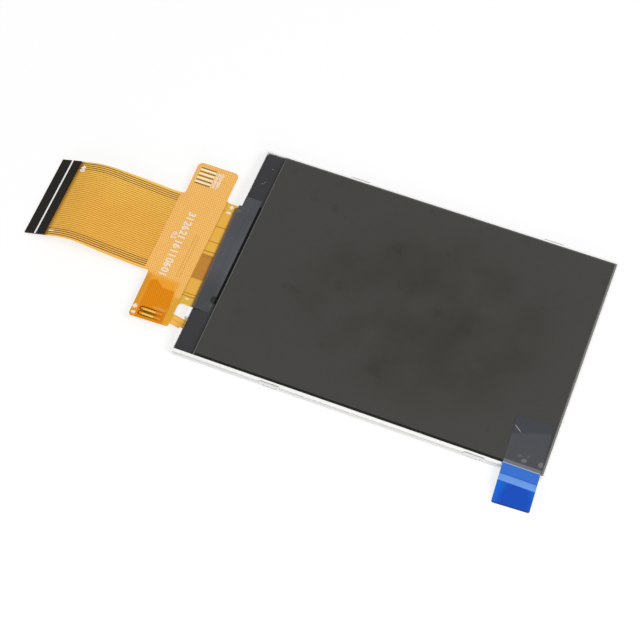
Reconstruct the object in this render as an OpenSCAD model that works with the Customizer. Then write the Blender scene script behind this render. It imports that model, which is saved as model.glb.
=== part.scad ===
// Flat liquid-crystal display module with an edge-lit backlight and a flexible circuit.
// Frame: origin at the centre of the steel tray's back face, +Z towards the viewer,
// +X along the long side and away from the flexible circuit, millimetres.

/* [Module outline] */
// Length of the steel tray, along the long side
module_l = 82.94; // [78:0.5:90]
// Width of the steel tray, along the short side
module_w = 54.66; // [50:0.5:60]

/* [Steel tray] */
// Thickness of the steel sheet
sheet_t = 0.2; // [0.15:0.05:0.3]
// Height of the folded walls above the back face
wall_h = 1.2; // [1:0.1:1.5]
// Inner radius of the folds
fold_r = 0.15; // [0.1:0.05:0.3]
// Length that each wall stops short of its corner
corner_gap = 0.9; // [0.5:0.1:2]
// Place of the first pair of latches along the long sides
latch_x1 = -18.5; // [-25:0.5:-10]
// Place of the second pair of latches along the long sides
latch_x2 = 26.5; // [15:0.5:28]
// Width of the tongue that carries a latch window
latch_w = 4.6; // [4:0.1:7]
// Height of the latch tongues above the back face
latch_h = 2; // [1.6:0.1:2]
// Width of the latch windows
window_w = 2.7; // [2:0.1:3.5]
// Lower edge of the latch windows above the back face
window_z = 0.4; // [0.4:0.05:0.6]
// Height of the latch windows
window_h = 0.62; // [0.5:0.02:0.8]

/* [Moulded frame] */
// Gap between the frame and the steel walls
frame_gap = 0.02; // [0.01:0.01:0.05]
// Thickness of the rim along the long sides
rim_side_t = 0.41; // [0.3:0.01:0.6]
// Thickness of the rim at the end with the lamps
rim_lamp_t = 0.7; // [0.5:0.05:1]
// Thickness of the rim at the end away from the lamps
rim_end_t = 0.3; // [0.3:0.05:1]
// Height of the front glass above the rim
rim_drop = 0.08; // [0:0.02:0.3]
// Width of the ledge that carries the panel, along the long sides
seat_side = 0.85; // [0.6:0.05:1.2]
// Width of the ledge that carries the panel, at the end away from the lamps
seat_end = 0.4; // [0.3:0.05:0.8]
// Gap between the latch hooks and their windows
hook_gap = 0.12; // [0.05:0.01:0.25]

/* [Backlight] */
// Thickness of the white reflector film
reflector_t = 0.1; // [0.05:0.01:0.2]
// Thickness of the light guide
guide_t = 0.5; // [0.45:0.05:0.8]
// Thickness of the diffuser film
diffuser_t = 0.07; // [0.05:0.01:0.12]
// Thickness of each prism film
prism_t = 0.065; // [0.05:0.005:0.12]
// Length of the bay that holds the lamps at the flex end
lamp_bay = 3.65; // [3:0.05:4.5]
// Gap round the light guide and the films
film_gap = 0.1; // [0.05:0.01:0.2]
// Width of the locating ears on the light guide and the films
ear_w = 3; // [2:0.1:5]
// Reach of the locating ears
ear_l = 0.4; // [0.2:0.05:0.5]
// Place of the locating ears along the long sides
ear_x = 4; // [-5:0.5:12]
// Number of lamps
lamp_count = 6; // [4:2:8]
// Distance from lamp to lamp
lamp_pitch = 7.8; // [5:0.1:8]
// Length of a lamp
lamp_l = 3; // [2:0.1:4]
// Depth of a lamp, from its lit face to its back
lamp_d = 0.8; // [0.6:0.05:1]
// Height of a lamp
lamp_h = 0.42; // [0.3:0.02:0.44]
// Thickness of the black rim tape
rim_tape_t = 0.06; // [0.04:0.01:0.1]

/* [Panel] */
// Thickness of the rear and the front glass
glass_t = 0.5; // [0.3:0.05:0.7]
// Gap between the panel and the rim
panel_gap = 0.05; // [0.03:0.01:0.1]
// Width of the bare ledge of the rear glass
ledge_w = 4.4; // [4:0.1:5]
// Chamfer on the corners of the ledge
ledge_chamfer = 0.7; // [0.3:0.1:1.2]
// Thickness of each polarizer
polarizer_t = 0.13; // [0.1:0.01:0.25]
// Margin of bare glass round the polarizers
polarizer_margin = 0.42; // [0.3:0.02:0.8]
// Margin between the polarizers and the lit area
lit_margin = 1.1; // [0.8:0.05:2]
// Thickness of the protective film
cover_film_t = 0.06; // [0.04:0.01:0.1]
// Length of the driver chip
chip_l = 22; // [15:0.5:26]
// Width of the driver chip
chip_w = 0.9; // [0.7:0.05:1.2]
// Height of the driver chip
chip_h = 0.27; // [0.2:0.01:0.32]
// Distance from the front glass to the driver chip
chip_gap = 1.25; // [0.8:0.05:1.5]

/* [Main flex] */
// Thickness of the main flex
flex_t = 0.12; // [0.08:0.01:0.2]
// Width of the neck that is bonded to the glass
neck_w = 27.1; // [25:0.1:30]
// Offset of the neck from the middle of the module
neck_y = -2.5; // [-4:0.1:0]
// Length of the bond on the glass ledge
bond_l = 1.3; // [1:0.1:1.6]
// Thickness of the bonding film
bond_t = 0.03; // [0.02:0.01:0.05]
// Distance from the rear glass to the cross bar
neck_l = 3.7; // [3:0.1:6]
// Width of the cross bar at its far end
bar_w_far = 9.7; // [8:0.1:11]
// Width of the cross bar at its near end
bar_w_near = 8.6; // [7:0.1:11]
// Far end of the cross bar, measured from the middle of the module
bar_far = 18.9; // [16:0.1:24]
// Near end of the cross bar, measured from the middle of the module
bar_near = -22.3; // [-24:0.1:-21.5]
// How much further the bar's near end reaches at its outer corner (mm)
bar_skew = 0.3; // [0:0.1:0.8]
// Radius of the cross bar's outer corners
bar_r = 1.1; // [0.5:0.1:1.3]
// Radius of the inner corners at the neck and the tail
inner_r = 0.9; // [0.5:0.1:1.2]

/* [Tail] */
// Number of conductors in the tail
pin_count = 40; // [30:1:44]
// Distance from conductor to conductor
pin_pitch = 0.5; // [0.4:0.05:0.5]
// Centre line of the tail, measured from the middle of the module
tail_y = -0.5; // [-1.5:0.05:0.5]
// Turn of the tail away from the module's long axis
tail_turn = 0.9; // [-3:0.1:3]
// How much further each side of the tail stands out beside the cross bar
tail_flare = 0.25; // [0.05:0.05:0.5]
// Distance from the tail's root to the start of its taper
flare_from = 10.3; // [9.5:0.1:12]
// Length of the taper
flare_l = 9.7; // [6:0.1:10]
// Climb of the tail after it leaves the cross bar, in degrees
climb = 7.5; // [3:0.5:9]
// Radius of the bend into the climb
climb_r = 25; // [20:1:60]
// Length of the straight climb
climb_l = 11.5; // [10:0.1:20]
// Radius of the crest
crest_r = 14; // [8:0.5:20]
// Slope of the tail's end down to the surface, in degrees
descent = 20; // [18:0.5:30]
// Thickness of the copper tracks above the film
track_t = 0.025; // [0.02:0.005:0.04]
// Width of the fine tracks
track_w = 0.22; // [0.15:0.01:0.28]
// Width of the wide tracks beside each edge
wide_track_w = 0.36; // [0.3:0.01:0.4]
// Number of wide tracks beside each edge
wide_tracks = 4; // [2:1:6]
// Length of the tracks that lies before the climb
track_lead = 0.9; // [0.5:0.1:1.5]
// Gap between the tracks and the stiffener
track_gap = 0.15; // [0.05:0.05:0.5]
// Length of the contact fingers
finger_l = 3.9; // [3:0.1:4.3]
// Width of the contact fingers
finger_w = 0.33; // [0.25:0.01:0.36]
// Distance from the tail's end to the contact fingers
finger_inset = 0.1; // [0.05:0.05:0.3]
// Thickness of the contact fingers
finger_t = 0.03; // [0.02:0.005:0.05]
// Length of the stiffener
stiffener_l = 5.1; // [4.5:0.1:7]
// Thickness of the stiffener
stiffener_t = 0.18; // [0.1:0.01:0.25]
// Height of the tail's tip above the surface that the module lies on
tip_gap = 0.03; // [0.01:0.01:0.1]

/* [Test pads and solder] */
// Number of test pads at the far end of the cross bar
pad_count = 4; // [2:1:6]
// Distance from pad to pad
pad_pitch = 1.1; // [0.8:0.05:1.2]
// Length of a test pad
pad_l = 3.7; // [2.5:0.1:4]
// Width of a test pad
pad_w = 0.5; // [0.4:0.05:0.7]
// Thickness of a test pad
pad_t = 0.02; // [0.01:0.005:0.04]
// Distance from the cross bar's far end to the first pad
pad_inset = 1.7; // [1.2:0.1:3]
// Length of a solder slot
slot_l = 5.2; // [4:0.1:5.5]
// Width of a solder slot
slot_w = 0.65; // [0.4:0.05:0.7]
// Distance from slot to slot
slot_pitch = 1.15; // [1:0.05:1.4]
// Distance from the cross bar's near end to the first slot
slot_inset = 1; // [0.9:0.05:1.5]
// Length of a solder joint
solder_l = 2.8; // [2:0.1:4]
// Gap between a solder joint and the sides of its slot
solder_gap = 0.04; // [0.02:0.01:0.1]
// Height of a solder joint above the pad that it sits on
solder_h = 0.19; // [0.14:0.01:0.25]

/* [Lamp flex] */
// Thickness of the lamp flex
lamp_flex_t = 0.08; // [0.06:0.01:0.12]
// Width of the lamp flex strip
lamp_strip_w = 2.6; // [2:0.1:2.8]
// Width of the lead that leaves the module
lead_w = 2.4; // [2:0.1:3]
// Centre line of the lead, measured from the middle of the module
lead_y = -20.2; // [-20.5:0.05:-19.8]
// Climb of the lead from the lamps to the cross bar, in degrees
lead_climb = 22; // [18:1:35]
// Radius of the two bends in the lead
lead_r = 2.5; // [1.5:0.1:3]
// Length of the solder tab under the cross bar
tab_l = 6.7; // [5.5:0.1:7.2]
// Width of the solder tab under the cross bar
tab_w = 8.3; // [5:0.1:10]

/* [Ledge tape] */
// Thickness of the tape over the ledge
tape_t = 0.09; // [0.05:0.01:0.15]
// Length of the tape
tape_l = 30.2; // [29:0.1:34]
// Offset of the tape from the middle of the module
tape_y = -1.1; // [-2.5:0.1:0]
// Gap between the tape and the front glass
tape_gap = 0.55; // [0.3:0.05:0.7]
// Overhang of the tape past the rear glass, over the flex
tape_over = 0.85; // [0.4:0.05:1.5]

/* [Pull tab] */
// Width of the pull tab
pull_w = 8; // [6:0.1:10]
// Length of the pull tab that is stuck to the film
pull_stuck = 10.7; // [6:0.1:14]
// Length that stands straight out past the polarizer
pull_out = 3.6; // [2:0.1:5]
// Radius of the bend in the pull tab
pull_bend_r = 2.6; // [1.5:0.1:4]
// Slope of the hanging end, in degrees
pull_slope = 29; // [20:1:45]
// Thickness of the pull tab
pull_t = 0.06; // [0.04:0.01:0.1]
// Turn of the pull tab against the module's edge
pull_turn = 2.8; // [-5:0.1:5]
// Distance from the module's end to the middle of the pull tab
pull_inset = 5.1; // [4.8:0.1:15]
// Radius of the pull tab's corners
pull_corner_r = 0.4; // [0.3:0.1:2]

/* [Hidden] */
$fn = 48;

// ---- plan sizes, worked out from the outline inwards
inner_l = module_l - 2 * (sheet_t + frame_gap);
inner_w = module_w - 2 * (sheet_t + frame_gap);
glass_w = inner_w - 2 * (rim_side_t + panel_gap);
ledge_x = -inner_l / 2 + rim_lamp_t + panel_gap;
glass_x1 = inner_l / 2 - rim_end_t - panel_gap;
front_x = ledge_x + ledge_w;
guide_x0 = ledge_x + lamp_bay;
guide_x1 = glass_x1 - seat_end;
guide_w = glass_w - 2 * seat_side;
pol_x0 = front_x + polarizer_margin;
pol_x1 = glass_x1 - polarizer_margin;
pol_w = glass_w - 2 * polarizer_margin;
lamp_shelf = lamp_d + 0.3;
lamp_row = lamp_count * lamp_pitch;

// Height of the cuts that are open upwards, more than the module's own height
through = 10;

// ---- the stack, from the back face up
reflector_z = sheet_t;
guide_z = reflector_z + reflector_t;
diffuser_z = guide_z + guide_t;
lower_prism_z = diffuser_z + diffuser_t;
upper_prism_z = lower_prism_z + prism_t;
seat_z = upper_prism_z + prism_t;
rear_pol_z = seat_z + rim_tape_t;
rear_glass_z = rear_pol_z + polarizer_t;
front_glass_z = rear_glass_z + glass_t;
front_pol_z = front_glass_z + glass_t;
cover_z = front_pol_z + polarizer_t;
pull_z = cover_z + cover_film_t;
rim_z = front_pol_z - rim_drop;
flex_z = front_glass_z + bond_t;
flex_top_z = flex_z + flex_t;
lamp_flex_z = guide_z + lamp_h;

// ---- the main flex in plan
bar_x = ledge_x - neck_l;
bar_far_x = bar_x - bar_w_far;
bar_near_x = bar_x - bar_w_near;
tail_w = pin_pitch * (pin_count + 1);
body_w = tail_w + 2 * tail_flare;
root_x = bar_x - (bar_w_far + bar_w_near) / 2 + 1.2;
root_l = 2.4;
root_lap = 0.4;
root_step = 0.02;

// ---- side gaps for the flexes in the frame and the tray
notch_gap = 0.3;
lead_lo = lead_y - lead_w / 2;
lead_hi = lead_y + lead_w / 2;

// ---- paths: each step is [length, turn in degrees], walked outwards from the root
function advance(p, a, s, step) =
    step[1] == 0
        ? p + s * [cos(a), sin(a)]
        : let (r = step[0] / (step[1] * PI / 180), b = a + step[1] * s / step[0])
          p + r * [sin(b) - sin(a), cos(a) - cos(b)];

function turned(a, s, step) = a + step[1] * s / step[0];

function walk(path, s, i = 0, p = [0, 0], a = 0) =
    s <= path[i][0] || i == len(path) - 1
        ? [advance(p, a, s, path[i]), turned(a, s, path[i])]
        : walk(path, s - path[i][0], i + 1,
               advance(p, a, path[i][0], path[i]), a + path[i][1]);

function start_of(path, i) = i == 0 ? 0 : start_of(path, i - 1) + path[i - 1][0];

function length_of(path) = start_of(path, len(path));

// Places along a path: both ends, every joint of two steps, and every 4 degrees of a bend
function stations(path, s0, s1) =
    let (marks = [
        for (i = [0 : len(path) - 1])
            let (n = max(1, ceil(abs(path[i][1]) / 4)))
                for (k = [0 : n - 1]) start_of(path, i) + k * path[i][0] / n
    ])
    concat([s0], [for (s = marks) if (s > s0 + 0.01 && s < s1 - 0.01) s], [s1]);

function off_path(path, s, t) =
    let (w = walk(path, s)) [-w[0][0] - t * -sin(w[1]), w[0][1] + t * cos(w[1])];

// A strip between heights t0 and t1 over a path that runs towards -X, from y0 to y1
module strip(path, s0, s1, t0, t1, y0, y1) {
    marks = stations(path, s0, s1);
    last = len(marks) - 1;
    side = concat(
        [for (s = marks) off_path(path, s, t0)],
        [for (i = [0 : last]) off_path(path, marks[last - i], t1)]
    );
    translate([0, y1, 0]) rotate([90, 0, 0]) linear_extrude(y1 - y0) polygon(side);
}

// ---- outlines: each corner is [x, y, radius], in order round the shape
function unit(v) = v / norm(v);

function round_corner(a, b, c) =
    let (
        u = unit([a[0] - b[0], a[1] - b[1]]),
        w = unit([c[0] - b[0], c[1] - b[1]]),
        half = acos(u * w) / 2,
        reach = b[2] / tan(half),
        mid = [b[0], b[1]] + unit(u + w) * b[2] / sin(half),
        p = [b[0], b[1]] + u * reach,
        from = atan2(p[1] - mid[1], p[0] - mid[0]),
        bend = 180 - 2 * half,
        side = sign(u[0] * w[1] - u[1] * w[0]),
        n = max(2, ceil(bend / 11))
    )
    b[2] == 0
        ? [[b[0], b[1]]]
        : [for (k = [0 : n]) mid + b[2] * [cos(from - side * bend * k / n),
                                          sin(from - side * bend * k / n)]];

function outline(corners) =
    let (n = len(corners))
    [for (i = [0 : n - 1])
        for (p = round_corner(corners[(i + n - 1) % n], corners[i], corners[(i + 1) % n])) p];

// A plate with rounded corners between two corners of a box
module plate(x0, x1, y0, y1, z, t, r = 0) {
    translate([0, 0, z]) linear_extrude(t)
        polygon(outline([[x0, y0, r], [x1, y0, r], [x1, y1, r], [x0, y1, r]]));
}

// ---- steel tray
fold_out = fold_r + sheet_t;

// Section of a folded wall: the fold, then the wall up to its height
module wall_section(h) {
    intersection() {
        difference() {
            circle(fold_out);
            circle(fold_r);
        }
        translate([0, -fold_out]) square(fold_out);
    }
    translate([fold_r, 0]) square([sheet_t, h - fold_out]);
}

// A wall of length l whose outer face stands at distance d from the middle, towards -Y
module wall(l, d, h) {
    translate([-l / 2, -d + fold_out, fold_out])
        rotate([90, 0, 90]) linear_extrude(l) mirror([1, 0]) wall_section(h);
}

module latch_windows() {
    for (x = [latch_x1, latch_x2], s = [-1, 1])
        translate([x - window_w / 2, s * (module_w / 2 - sheet_t / 2) - sheet_t, window_z])
            cube([window_w, 2 * sheet_t, window_h]);
}

module latch_tongues() {
    for (x = [latch_x1, latch_x2], s = [-1, 1])
        translate([x, s * (module_w / 2 - sheet_t / 2) + sheet_t / 2, 0])
            rotate([90, 0, 0]) linear_extrude(sheet_t)
                polygon(outline([
                    [-latch_w / 2, wall_h - sheet_t, 0], [latch_w / 2, wall_h - sheet_t, 0],
                    [latch_w / 2, latch_h, 0.3], [-latch_w / 2, latch_h, 0.3]
                ]));
}

module steel_tray() {
    color([0.80, 0.80, 0.79]) difference() {
        union() {
            plate(-module_l / 2 + fold_out, module_l / 2 - fold_out,
                  -module_w / 2 + fold_out, module_w / 2 - fold_out, 0, sheet_t);
            for (a = [0, 180]) rotate(a)
                wall(module_l - 2 * corner_gap, module_w / 2, wall_h);
            for (a = [90, 270]) rotate(a)
                wall(module_w - 2 * corner_gap, module_l / 2, wall_h);
            latch_tongues();
        }
        latch_windows();
        lead_cut(-module_l / 2 - 1, lamp_flex_z - notch_gap);
    }
}

// The way out for the lamp flex through an end wall, open upwards
module lead_cut(x, z) {
    translate([x, lead_lo - notch_gap, z])
        cube([4, lead_w + 2 * notch_gap, through]);
}

// ---- moulded frame
hook_h = window_h - 2 * hook_gap;
hook_w = window_w - 2 * hook_gap;

// Wedge-shaped hooks that snap into the latch windows
module hooks() {
    for (x = [latch_x1, latch_x2], s = [0, 1]) mirror([0, s, 0])
        translate([x - hook_w / 2, 0, 0]) rotate([90, 0, 90]) linear_extrude(hook_w)
            polygon([
                [inner_w / 2 - 0.1, window_z + hook_gap],
                [module_w / 2 - sheet_t * 0.25, window_z + hook_gap],
                [module_w / 2 - sheet_t * 0.25, window_z + hook_gap + hook_h * 0.4],
                [inner_w / 2, window_z + hook_gap + hook_h],
                [inner_w / 2 - 0.1, window_z + hook_gap + hook_h]
            ]);
}

// Plan of the light guide and the films, with their locating ears
module film_plan(x0, grow) {
    translate([x0 - grow, -guide_w / 2 - grow])
        square([guide_x1 - x0 + 2 * grow, guide_w + 2 * grow]);
    translate([ear_x - ear_w / 2 - grow, -guide_w / 2 - ear_l - grow])
        square([ear_w + 2 * grow, guide_w + 2 * (ear_l + grow)]);
}

module lamp_bay_cut() {
    strip_x0 = guide_x0 - lamp_strip_w;
    translate([strip_x0 - film_gap, -lamp_row / 2 - film_gap, lamp_flex_z])
        cube([lamp_strip_w + 2 * film_gap, lamp_row + 2 * film_gap, through]);
    translate([guide_x0 - lamp_shelf - film_gap, -guide_w / 2 - film_gap, 0])
        cube([lamp_shelf + 2 * film_gap, guide_w + 2 * film_gap, through]);
}

// Fingers that stand between the lamps, over the reflector film
module lamp_fingers() {
    finger = lamp_pitch - lamp_l - 2 * film_gap;
    for (i = [1 : lamp_count - 1])
        translate([guide_x0 - lamp_shelf - film_gap - 0.1,
                   (i - lamp_count / 2) * lamp_pitch - finger / 2, guide_z])
            cube([lamp_d + 0.1, finger, lamp_h]);
}

// A bar that chamfers a bottom edge of length l, at distance d from the middle, towards -Y
module fold_room(l, d) {
    side = fold_r * sqrt(2);
    translate([0, -d, sheet_t]) rotate([45, 0, 0])
        cube([l + 2, side, side], center = true);
}

module moulded_frame() {
    color([0.96, 0.96, 0.95]) {
        difference() {
            plate(-inner_l / 2, inner_l / 2, -inner_w / 2, inner_w / 2,
                  sheet_t, rim_z - sheet_t, 0.5);
            // seat of the panel
            translate([ledge_x - panel_gap, -glass_w / 2 - panel_gap, seat_z])
                cube([glass_x1 - ledge_x + 2 * panel_gap, glass_w + 2 * panel_gap, through]);
            // window of the light guide
            linear_extrude(through) film_plan(guide_x0, film_gap);
            lamp_bay_cut();
            // ways out of the lamp flex and the main flex
            lead_cut(-module_l / 2 - 1, lamp_flex_z - 0.02);
            translate([-module_l / 2, neck_y - neck_w / 2 - notch_gap, front_glass_z])
                cube([rim_lamp_t + 2, neck_w + 2 * notch_gap, through]);
            // room for the folds of the tray
            for (a = [0, 180]) rotate(a) fold_room(inner_l, inner_w / 2);
            for (a = [90, 270]) rotate(a) fold_room(inner_w, inner_l / 2);
        }
        lamp_fingers();
        hooks();
    }
}

// ---- backlight
module film(z, t, x0 = guide_x0, trim = 0) {
    translate([0, 0, z]) linear_extrude(t) film_plan(x0, -trim);
}

module reflector_film() {
    color([0.95, 0.96, 0.97])
        film(reflector_z, reflector_t, guide_x0 - lamp_shelf);
}

module light_guide() {
    color([0.85, 0.92, 0.95]) film(guide_z, guide_t);
}

module diffuser_film() {
    color([0.93, 0.93, 0.92]) film(diffuser_z, diffuser_t, guide_x0, 0.05);
}

module lower_prism_film() {
    color([0.86, 0.88, 0.9]) film(lower_prism_z, prism_t, guide_x0, 0.1);
}

module upper_prism_film() {
    color([0.84, 0.86, 0.9]) film(upper_prism_z, prism_t, guide_x0, 0.1);
}

module rim_tape() {
    color([0.08, 0.08, 0.09]) difference() {
        plate(ledge_x + 0.1, glass_x1 - 0.1, -glass_w / 2 + 0.1, glass_w / 2 - 0.1,
              seat_z, rim_tape_t);
        plate(pol_x0 + lit_margin, pol_x1 - lit_margin,
              -pol_w / 2 + lit_margin, pol_w / 2 - lit_margin, 0, through);
    }
}

module lamp(i) {
    y = (i - (lamp_count - 1) / 2) * lamp_pitch;
    x = guide_x0 - film_gap / 2 - lamp_d;
    color([0.97, 0.93, 0.70]) difference() {
        translate([x, y - lamp_l / 2, guide_z]) cube([lamp_d, lamp_l, lamp_h]);
        // the lit face is a shallow trough between two end walls
        translate([x + lamp_d - 0.1, y - lamp_l / 2 + 0.3, guide_z + 0.08])
            cube([0.2, lamp_l - 0.6, lamp_h - 0.16]);
    }
}

module lamp_1() { lamp(0); }
module lamp_2() { lamp(1); }
module lamp_3() { lamp(2); }
module lamp_4() { lamp(3); }
module lamp_5() { lamp(4); }
module lamp_6() { lamp(5); }

// ---- lamp flex: the strip over the lamps, the lead and the solder tab
strip_edge_x = guide_x0 - lamp_strip_w;
tab_z = flex_z - lamp_flex_t;
lead_rise = tab_z - lamp_flex_z;
lead_arc = lead_r * lead_climb * PI / 180;
lead_slant = (lead_rise - 2 * lead_r * (1 - cos(lead_climb))) / sin(lead_climb);
lead_path = [
    [strip_edge_x - ledge_x + 0.5, 0],
    [lead_arc, lead_climb],
    [lead_slant, 0],
    [lead_arc, -lead_climb],
    [2, 0]
];
lead_end_x = strip_edge_x - walk(lead_path, length_of(lead_path))[0][0];
tab_x1 = bar_x - 1;
tab_y0 = bar_near + 0.6;

module lamp_flex() {
    color([0.93, 0.72, 0.28]) {
        plate(strip_edge_x, guide_x0 - film_gap, -lamp_row / 2, lamp_row / 2,
              lamp_flex_z, lamp_flex_t, 0.4);
        translate([strip_edge_x, 0, lamp_flex_z])
            strip(lead_path, -0.5, length_of(lead_path), 0, lamp_flex_t, lead_lo, lead_hi);
        plate(min(lead_end_x, tab_x1 - 1), bar_x, lead_lo, lead_hi, tab_z, lamp_flex_t);
        plate(tab_x1 - tab_l, tab_x1, tab_y0, tab_y0 + tab_w, tab_z, lamp_flex_t, 0.8);
    }
}

// ---- panel
module rear_polarizer() {
    color([0.20, 0.20, 0.21])
        plate(pol_x0, pol_x1, -pol_w / 2, pol_w / 2, rear_pol_z, polarizer_t);
}

module rear_glass() {
    w = glass_w / 2;
    c = ledge_chamfer;
    color([0.22, 0.22, 0.23, 0.9]) translate([0, 0, rear_glass_z]) linear_extrude(glass_t)
        polygon([
            [ledge_x + c, -w], [glass_x1, -w], [glass_x1, w],
            [ledge_x + c, w], [ledge_x, w - c], [ledge_x, -w + c]
        ]);
}

module front_glass() {
    color([0.17, 0.17, 0.17, 0.9])
        plate(front_x, glass_x1, -glass_w / 2, glass_w / 2, front_glass_z, glass_t);
}

module front_polarizer() {
    color([0.24, 0.24, 0.23])
        plate(pol_x0, pol_x1, -pol_w / 2, pol_w / 2, front_pol_z, polarizer_t, 0.2);
}

module cover_film() {
    color([0.29, 0.28, 0.27])
        plate(pol_x0, pol_x1, -pol_w / 2, pol_w / 2, cover_z, cover_film_t, 0.2);
}

module driver_chip() {
    x = front_x - chip_gap;
    color([0.12, 0.12, 0.14])
        plate(x - chip_w, x, neck_y - chip_l / 2, neck_y + chip_l / 2, front_glass_z, chip_h);
}

module bond_film() {
    color([0.65, 0.60, 0.50])
        plate(ledge_x, ledge_x + bond_l, neck_y - neck_w / 2 + 0.2,
              neck_y + neck_w / 2 - 0.2, front_glass_z, bond_t);
}

// ---- main flex
climb_arc = climb_r * climb * PI / 180;
crest_arc = crest_r * (climb + descent) * PI / 180;
tail_start = [[root_l, 0], [climb_arc, climb], [climb_l, 0], [crest_arc, -climb - descent]];
crest_end = walk(tail_start, length_of(tail_start));
fall_l = (flex_z + crest_end[0][1] - finger_t * cos(descent) - tip_gap) / sin(descent);
tail_path = concat(tail_start, [[fall_l, 0]]);
tail_l = length_of(tail_path);

// A point of the tail's root in plan: u along the tail, v across it
function root_point(u, v) =
    [root_x - u * cos(tail_turn) - v * sin(tail_turn),
     tail_y - u * sin(tail_turn) + v * cos(tail_turn)];

// The place where a tail edge crosses the cross bar's slanted edge
function bar_edge_x(y) =
    bar_near_x + (bar_far_x - bar_near_x) * (y - bar_near) / (bar_far - bar_near);

function with_radius(p, r) = [p[0], p[1], r];

module place_tail() {
    translate([root_x, tail_y, flex_z]) rotate(tail_turn) children();
}

module flex_plan() {
    neck_x = ledge_x + bond_l;
    neck_far = neck_y + neck_w / 2;
    neck_near = neck_y - neck_w / 2;
    tail_far = tail_y + body_w / 2;
    tail_near = tail_y - body_w / 2;
    polygon(outline([
        [neck_x, neck_far, 0.2],
        [bar_x, neck_far, inner_r],
        [bar_x, bar_far, bar_r],
        [bar_far_x, bar_far, bar_r],
        [bar_edge_x(tail_far), tail_far, inner_r * 2 / 3],
        with_radius(root_point(root_l - root_lap / 2, body_w / 2 - root_step), 0),
        with_radius(root_point(root_l - root_lap / 2, -body_w / 2 + root_step), 0),
        [bar_edge_x(tail_near), tail_near, inner_r * 2 / 3],
        [bar_near_x, bar_near - bar_skew, bar_r * 0.6],
        [bar_x, bar_near, bar_r / 2],
        [bar_x, neck_near, inner_r],
        [neck_x, neck_near, 0.2]
    ]));
}

slot_x1 = bar_x - 1.5;
function slot_y(i) = bar_near + slot_inset + i * slot_pitch;

// Solder slots with round ends
module slots() {
    r = slot_w / 2;
    for (i = [0, 1]) translate([slot_x1 - slot_l, slot_y(i), 0]) {
        translate([r, -r, 0]) cube([slot_l - slot_w, slot_w, through]);
        for (x = [r, slot_l - r]) translate([x, 0, 0]) cylinder(r = r, h = through);
    }
}

// Outline of the tail from above, wider beside the cross bar than at its end
module tail_plan() {
    flare_end = flare_from + flare_l;
    sides = [[0, body_w / 2], [flare_from, body_w / 2], [flare_end, tail_w / 2],
             [2 * tail_l, tail_w / 2]];
    polygon(concat([for (p = sides) [-p[0], p[1]]],
                   [for (i = [0 : 3]) [-sides[3 - i][0], -sides[3 - i][1]]]));
}

module main_flex() {
    color([0.95, 0.71, 0.32]) {
        difference() {
            translate([0, 0, flex_z]) linear_extrude(flex_t) flex_plan();
            slots();
        }
        place_tail() intersection() {
            strip(tail_path, root_l - root_lap, tail_l, 0, flex_t, -body_w, body_w);
            translate([0, 0, -through / 2]) linear_extrude(through) tail_plan();
        }
    }
}

function pin_y(i) = (i - (pin_count - 1) / 2) * pin_pitch;

function track_width(i) =
    i < wide_tracks || i >= pin_count - wide_tracks ? wide_track_w : track_w;

module copper_tracks() {
    color([0.62, 0.38, 0.18]) place_tail()
        for (i = [0 : pin_count - 1])
            strip(tail_path, root_l - track_lead, tail_l - stiffener_l - track_gap,
                  flex_t, flex_t + track_t,
                  pin_y(i) - track_width(i) / 2, pin_y(i) + track_width(i) / 2);
}

module contact_fingers() {
    color([0.85, 0.68, 0.30]) place_tail()
        for (i = [0 : pin_count - 1])
            strip(tail_path, tail_l - finger_l, tail_l - finger_inset, -finger_t, 0,
                  pin_y(i) - finger_w / 2, pin_y(i) + finger_w / 2);
}

module tail_stiffener() {
    color([0.12, 0.12, 0.11]) place_tail()
        strip(tail_path, tail_l - stiffener_l, tail_l, flex_t, flex_t + stiffener_t,
              -tail_w / 2, tail_w / 2);
}

module test_pads() {
    x0 = bar_far_x + 1.05;
    color([0.96, 0.88, 0.66])
        for (i = [0 : pad_count - 1])
            plate(x0, x0 + pad_l, bar_far - pad_inset - i * pad_pitch - pad_w / 2,
                  bar_far - pad_inset - i * pad_pitch + pad_w / 2, flex_top_z, pad_t, 0.1);
}

// Solder joints: low rounded beads in the slots, on the tab of the lamp flex
module solder_joints() {
    half = slot_w / 2 - solder_gap;
    r = (half * half + solder_h * solder_h) / (2 * solder_h);
    color([0.90, 0.86, 0.55])
        for (i = [0, 1])
            translate([slot_x1 - slot_l + slot_w / 2, slot_y(i), flex_z])
                intersection() {
                    translate([0, 0, solder_h - r]) rotate([0, 90, 0])
                        cylinder(r = r, h = solder_l);
                    translate([0, -half, 0]) cube([solder_l, 2 * half, solder_h + 1]);
                }
}

// ---- tape over the chip and the end of the main flex
chip_top_z = front_glass_z + chip_h;
tape_x1 = front_x - tape_gap;
chip_x = front_x - chip_gap;

module tape_section(x0) {
    polygon([
        [x0, flex_top_z], [ledge_x + bond_l, flex_top_z],
        [chip_x - chip_w - 0.05, chip_top_z], [chip_x + 0.05, chip_top_z],
        [tape_x1, front_glass_z], [tape_x1, front_glass_z + tape_t * 0.8],
        [chip_x + 0.1, chip_top_z + tape_t], [chip_x - chip_w - 0.1, chip_top_z + tape_t],
        [ledge_x + bond_l, flex_top_z + tape_t], [x0, flex_top_z + tape_t]
    ]);
}

module tape_run(x0, y0, y1) {
    translate([0, y1, 0]) rotate([90, 0, 0]) linear_extrude(y1 - y0) tape_section(x0);
}

module ledge_tape() {
    far = tape_y + tape_l / 2;
    near = tape_y - tape_l / 2;
    neck_far = neck_y + neck_w / 2;
    color([0.30, 0.31, 0.34]) {
        tape_run(ledge_x - tape_over, near, neck_far);
        tape_run(ledge_x, neck_far - 0.01, far);
    }
}

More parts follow.
